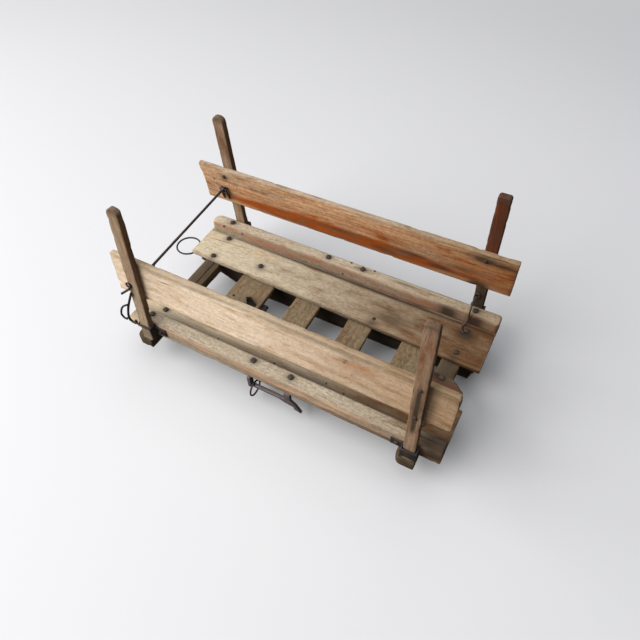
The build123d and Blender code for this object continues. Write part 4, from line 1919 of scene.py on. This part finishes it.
    def small_heads(self) -> None:
        """Builds the nails, pins and the peg that the CAD leaves out."""
        far, near = rack_place(Side.FAR, FAR_RACK_DIP), rack_place(Side.NEAR)
        inner = [far @ Matrix.Translation((x, up, 0)) for x, up in self.rack_holes]
        outer = near @ Matrix.Translation((*self.near_rack_hole, RACK_THICK))
        flip, inward = Matrix.Rotation(math.pi, 4, "X"), Matrix.Rotation(math.pi / 2, 4, "X")
        rails = [sled_point(x, RAIL_IN, z) @ inward for x, z in self.rail_holes]
        pins = [sled_point(x, y, RAIL_TOP - self.pin_drop) for x, y in self.pins]
        deck = [sled_point(x, y, DECK_TOP) for x, y in self.deck_holes]
        self.nails("far_rack_nails", self.rack_nail, [place @ flip for place in inner])
        self.nails("near_rack_nail", self.rack_nail, [outer])
        self.nails("slat_peg", self.peg, [sled_point(*self.slat_peg, DECK_UNDER + self.peg_rise)])
        self.nails("rail_nails", self.rail_nail, rails)
        self.nails("loose_pins", self.loose_pin, pins)
        self.nails("near_deck_nails", self.deck_nail, deck)
        self.nails("deck_pin", self.thick_pin, [sled_point(*self.deck_pin, DECK_TOP)])

    def build(self) -> None:
        """Builds and dresses all the iron."""
        rise, out = math.sin(RACK_LEAN), math.cos(RACK_LEAN)
        for node in ("deck_bolts", "rail_bolts"):
            self.nuts(node, Vector((0, 0, 1)))
        for node in ("far_iron_bolts", "near_iron_bolts"):
            self.nuts(node, Vector((0, 1, 0)))
        self.nuts("rack_bolts", Vector((0, -out, -rise)))
        self.nuts("stake_bolts", Vector((0, out, rise)))
        self.small_heads()
        for node in ("far_irons", "near_irons"):
            self.softened(node, self.finishes.iron, self.iron_edge)
        for node in ("bar_lugs", "hook_bar"):
            self.softened(node, self.finishes.grey_iron, self.bar_edge)
        for node in ("tie_rod", "tie_staple", "tie_eye", "draw_eye"):
            self.dress(node, self.finishes.iron)
        for node in ("draw_ring", "side_ring", "far_hook", "near_wires"):
            self.dress(node, self.finishes.iron)


@dataclass(frozen=True)
class Lamp:
    """Soft square lamp.

    Args:
        name: The lamp's name.
        place: Where it hangs.
        aim: Point that it faces.
        size: Length of its sides.
        power: Its power in watts.
        colour: Colour of its light.
    """

    name: str
    place: tuple
    aim: tuple
    size: float
    power: float
    colour: tuple

    def add(self) -> None:
        """Adds the lamp to the scene."""
        data = bpy.data.lights.new(self.name, "AREA")
        data.shape = "SQUARE"
        data.size = self.size
        data.energy = self.power
        data.color = self.colour
        lamp = bpy.data.objects.new(self.name, data)
        lamp.location = self.place
        lamp.rotation_mode = "QUATERNION"
        lamp.rotation_quaternion = (Vector(self.aim) - Vector(self.place)).to_track_quat("-Z", "Y")
        bpy.context.scene.collection.objects.link(lamp)


@dataclass
class Studio:
    """Floor, lamps, sky and camera.

    Args:
        floor_size: Size of the floor.
        fade: Distances at which the floor starts to turn into the backdrop and is all backdrop.
        backdrop: Colour of the backdrop.
        sky_light: Colour of the light from all round.
        sky_power: Strength of that light.
        picture: Width of the photograph's frame in pixels.
        focal: Focal length in the same pixels.
        sensor: Width of the camera's sensor in its own millimetres.
        eye: Place of the camera, with X counted from the middle of the deck.
        heading: Turn of the camera round the vertical.
        tilt: Angle of its view up from straight down.
        roll: Turn round its own view.
        lamps: The lamps.
    """

    floor_size: float = 14.0
    fade: tuple = (2.6, 6.0)
    backdrop: tuple = tint(222, 222, 225)
    sky_light: tuple = (0.93, 0.96, 1.0, 1.0)
    sky_power: float = 0.16
    picture: int = 640
    focal: float = 562.11
    sensor: float = 36.0
    eye: tuple = (0.6636, -1.0645, 1.7155)
    heading: float = 0.5311
    tilt: float = 0.6763
    roll: float = -0.0442
    lamps: tuple = (
        Lamp("window", (-4.0, -4.9, 5.4), (0, 0, 0.2), 6.0, 900.0, (1.0, 0.99, 0.975)),
        Lamp("side window", (-11.0, -1.4, 4.2), (0, 0, 0.1), 5.0, 900.0, (1.0, 0.995, 0.99)),
        Lamp("overhead", (0.2, 0.4, 6.0), (0, 0, 0.2), 6.0, 250.0, (0.98, 0.99, 1.0)),
    )

    def floor(self) -> None:
        """Wide pale floor that keeps the sled's shadow and turns into the backdrop far out."""
        bm = bmesh.new()
        bmesh.ops.create_grid(bm, x_segments=1, y_segments=1, size=self.floor_size)
        mesh = bpy.data.meshes.new("floor")
        bm.to_mesh(mesh)
        bm.free()
        floor = bpy.data.objects.new("floor", mesh)
        bpy.context.scene.collection.objects.link(floor)
        material = bpy.data.materials.new("pale_floor")
        material.use_nodes = True
        graph = Graph(material.node_tree)
        seen = graph.add("LightPath").outputs["Is Camera Ray"]
        place = graph.add("TexCoord").outputs["Object"]
        reach = graph.add("VectorMath", {0: place}, operation="LENGTH").outputs["Value"]
        far = graph.times(graph.band(reach, *self.fade), seen)
        plain = graph.mix(seen, tint(84, 80, 76), tint(190, 190, 192))
        black = (0.0, 0.0, 0.0, 1.0)
        graph.fill(graph.tree.nodes["Principled BSDF"], {
            "Base Color": graph.mix(far, plain, black),
            "Emission Color": graph.mix(far, black, self.backdrop),
            "Emission Strength": 1.0,
            "Roughness": 0.75,
            "Specular IOR Level": 0.15,
        })
        mesh.materials.append(material)

    def sky(self) -> None:
        """Even pale light from all round, with the backdrop's colour behind the sled."""
        world = bpy.data.worlds.new("sky")
        bpy.context.scene.world = world
        world.use_nodes = True
        graph = Graph(world.node_tree)
        seen = graph.add("LightPath").outputs["Is Camera Ray"]
        graph.fill(world.node_tree.nodes["Background"], {
            "Color": graph.mix(seen, self.sky_light, self.backdrop),
            "Strength": graph.band(seen, 0.0, 1.0, (self.sky_power, 1.0)),
        })

    def camera(self) -> None:
        """Camera above the near rear corner, at the photograph's angle."""
        data = bpy.data.cameras.new("camera")
        data.sensor_width = self.sensor
        data.lens = self.sensor * self.focal / self.picture
        camera = bpy.data.objects.new("camera", data)
        turns = ((self.heading, "Z"), (self.tilt, "X"), (self.roll, "Z"))
        turn = Matrix.Identity(4)
        for angle, axis in turns:
            turn = turn @ Matrix.Rotation(angle, 4, axis)
        camera.matrix_world = sled_point(*self.eye) @ turn
        bpy.context.scene.collection.objects.link(camera)
        bpy.context.scene.camera = camera

    def build(self) -> None:
        """Sets up the whole studio."""
        self.floor()
        self.sky()
        self.camera()
        for lamp in self.lamps:
            lamp.add()
        bpy.context.scene.view_settings.view_transform = "Standard"


def main() -> None:
    """Sets up the studio, then builds the sled piece by piece."""
    logging.basicConfig(level=logging.INFO, format="%(name)s %(message)s")
    finishes = Finishes()
    Studio().build()
    for part in (Deck, Undercarriage, Racks, Ironwork):
        log.info("building %s", part.__name__)
        part(finishes).build()


if __name__ == "__main__":
    main()
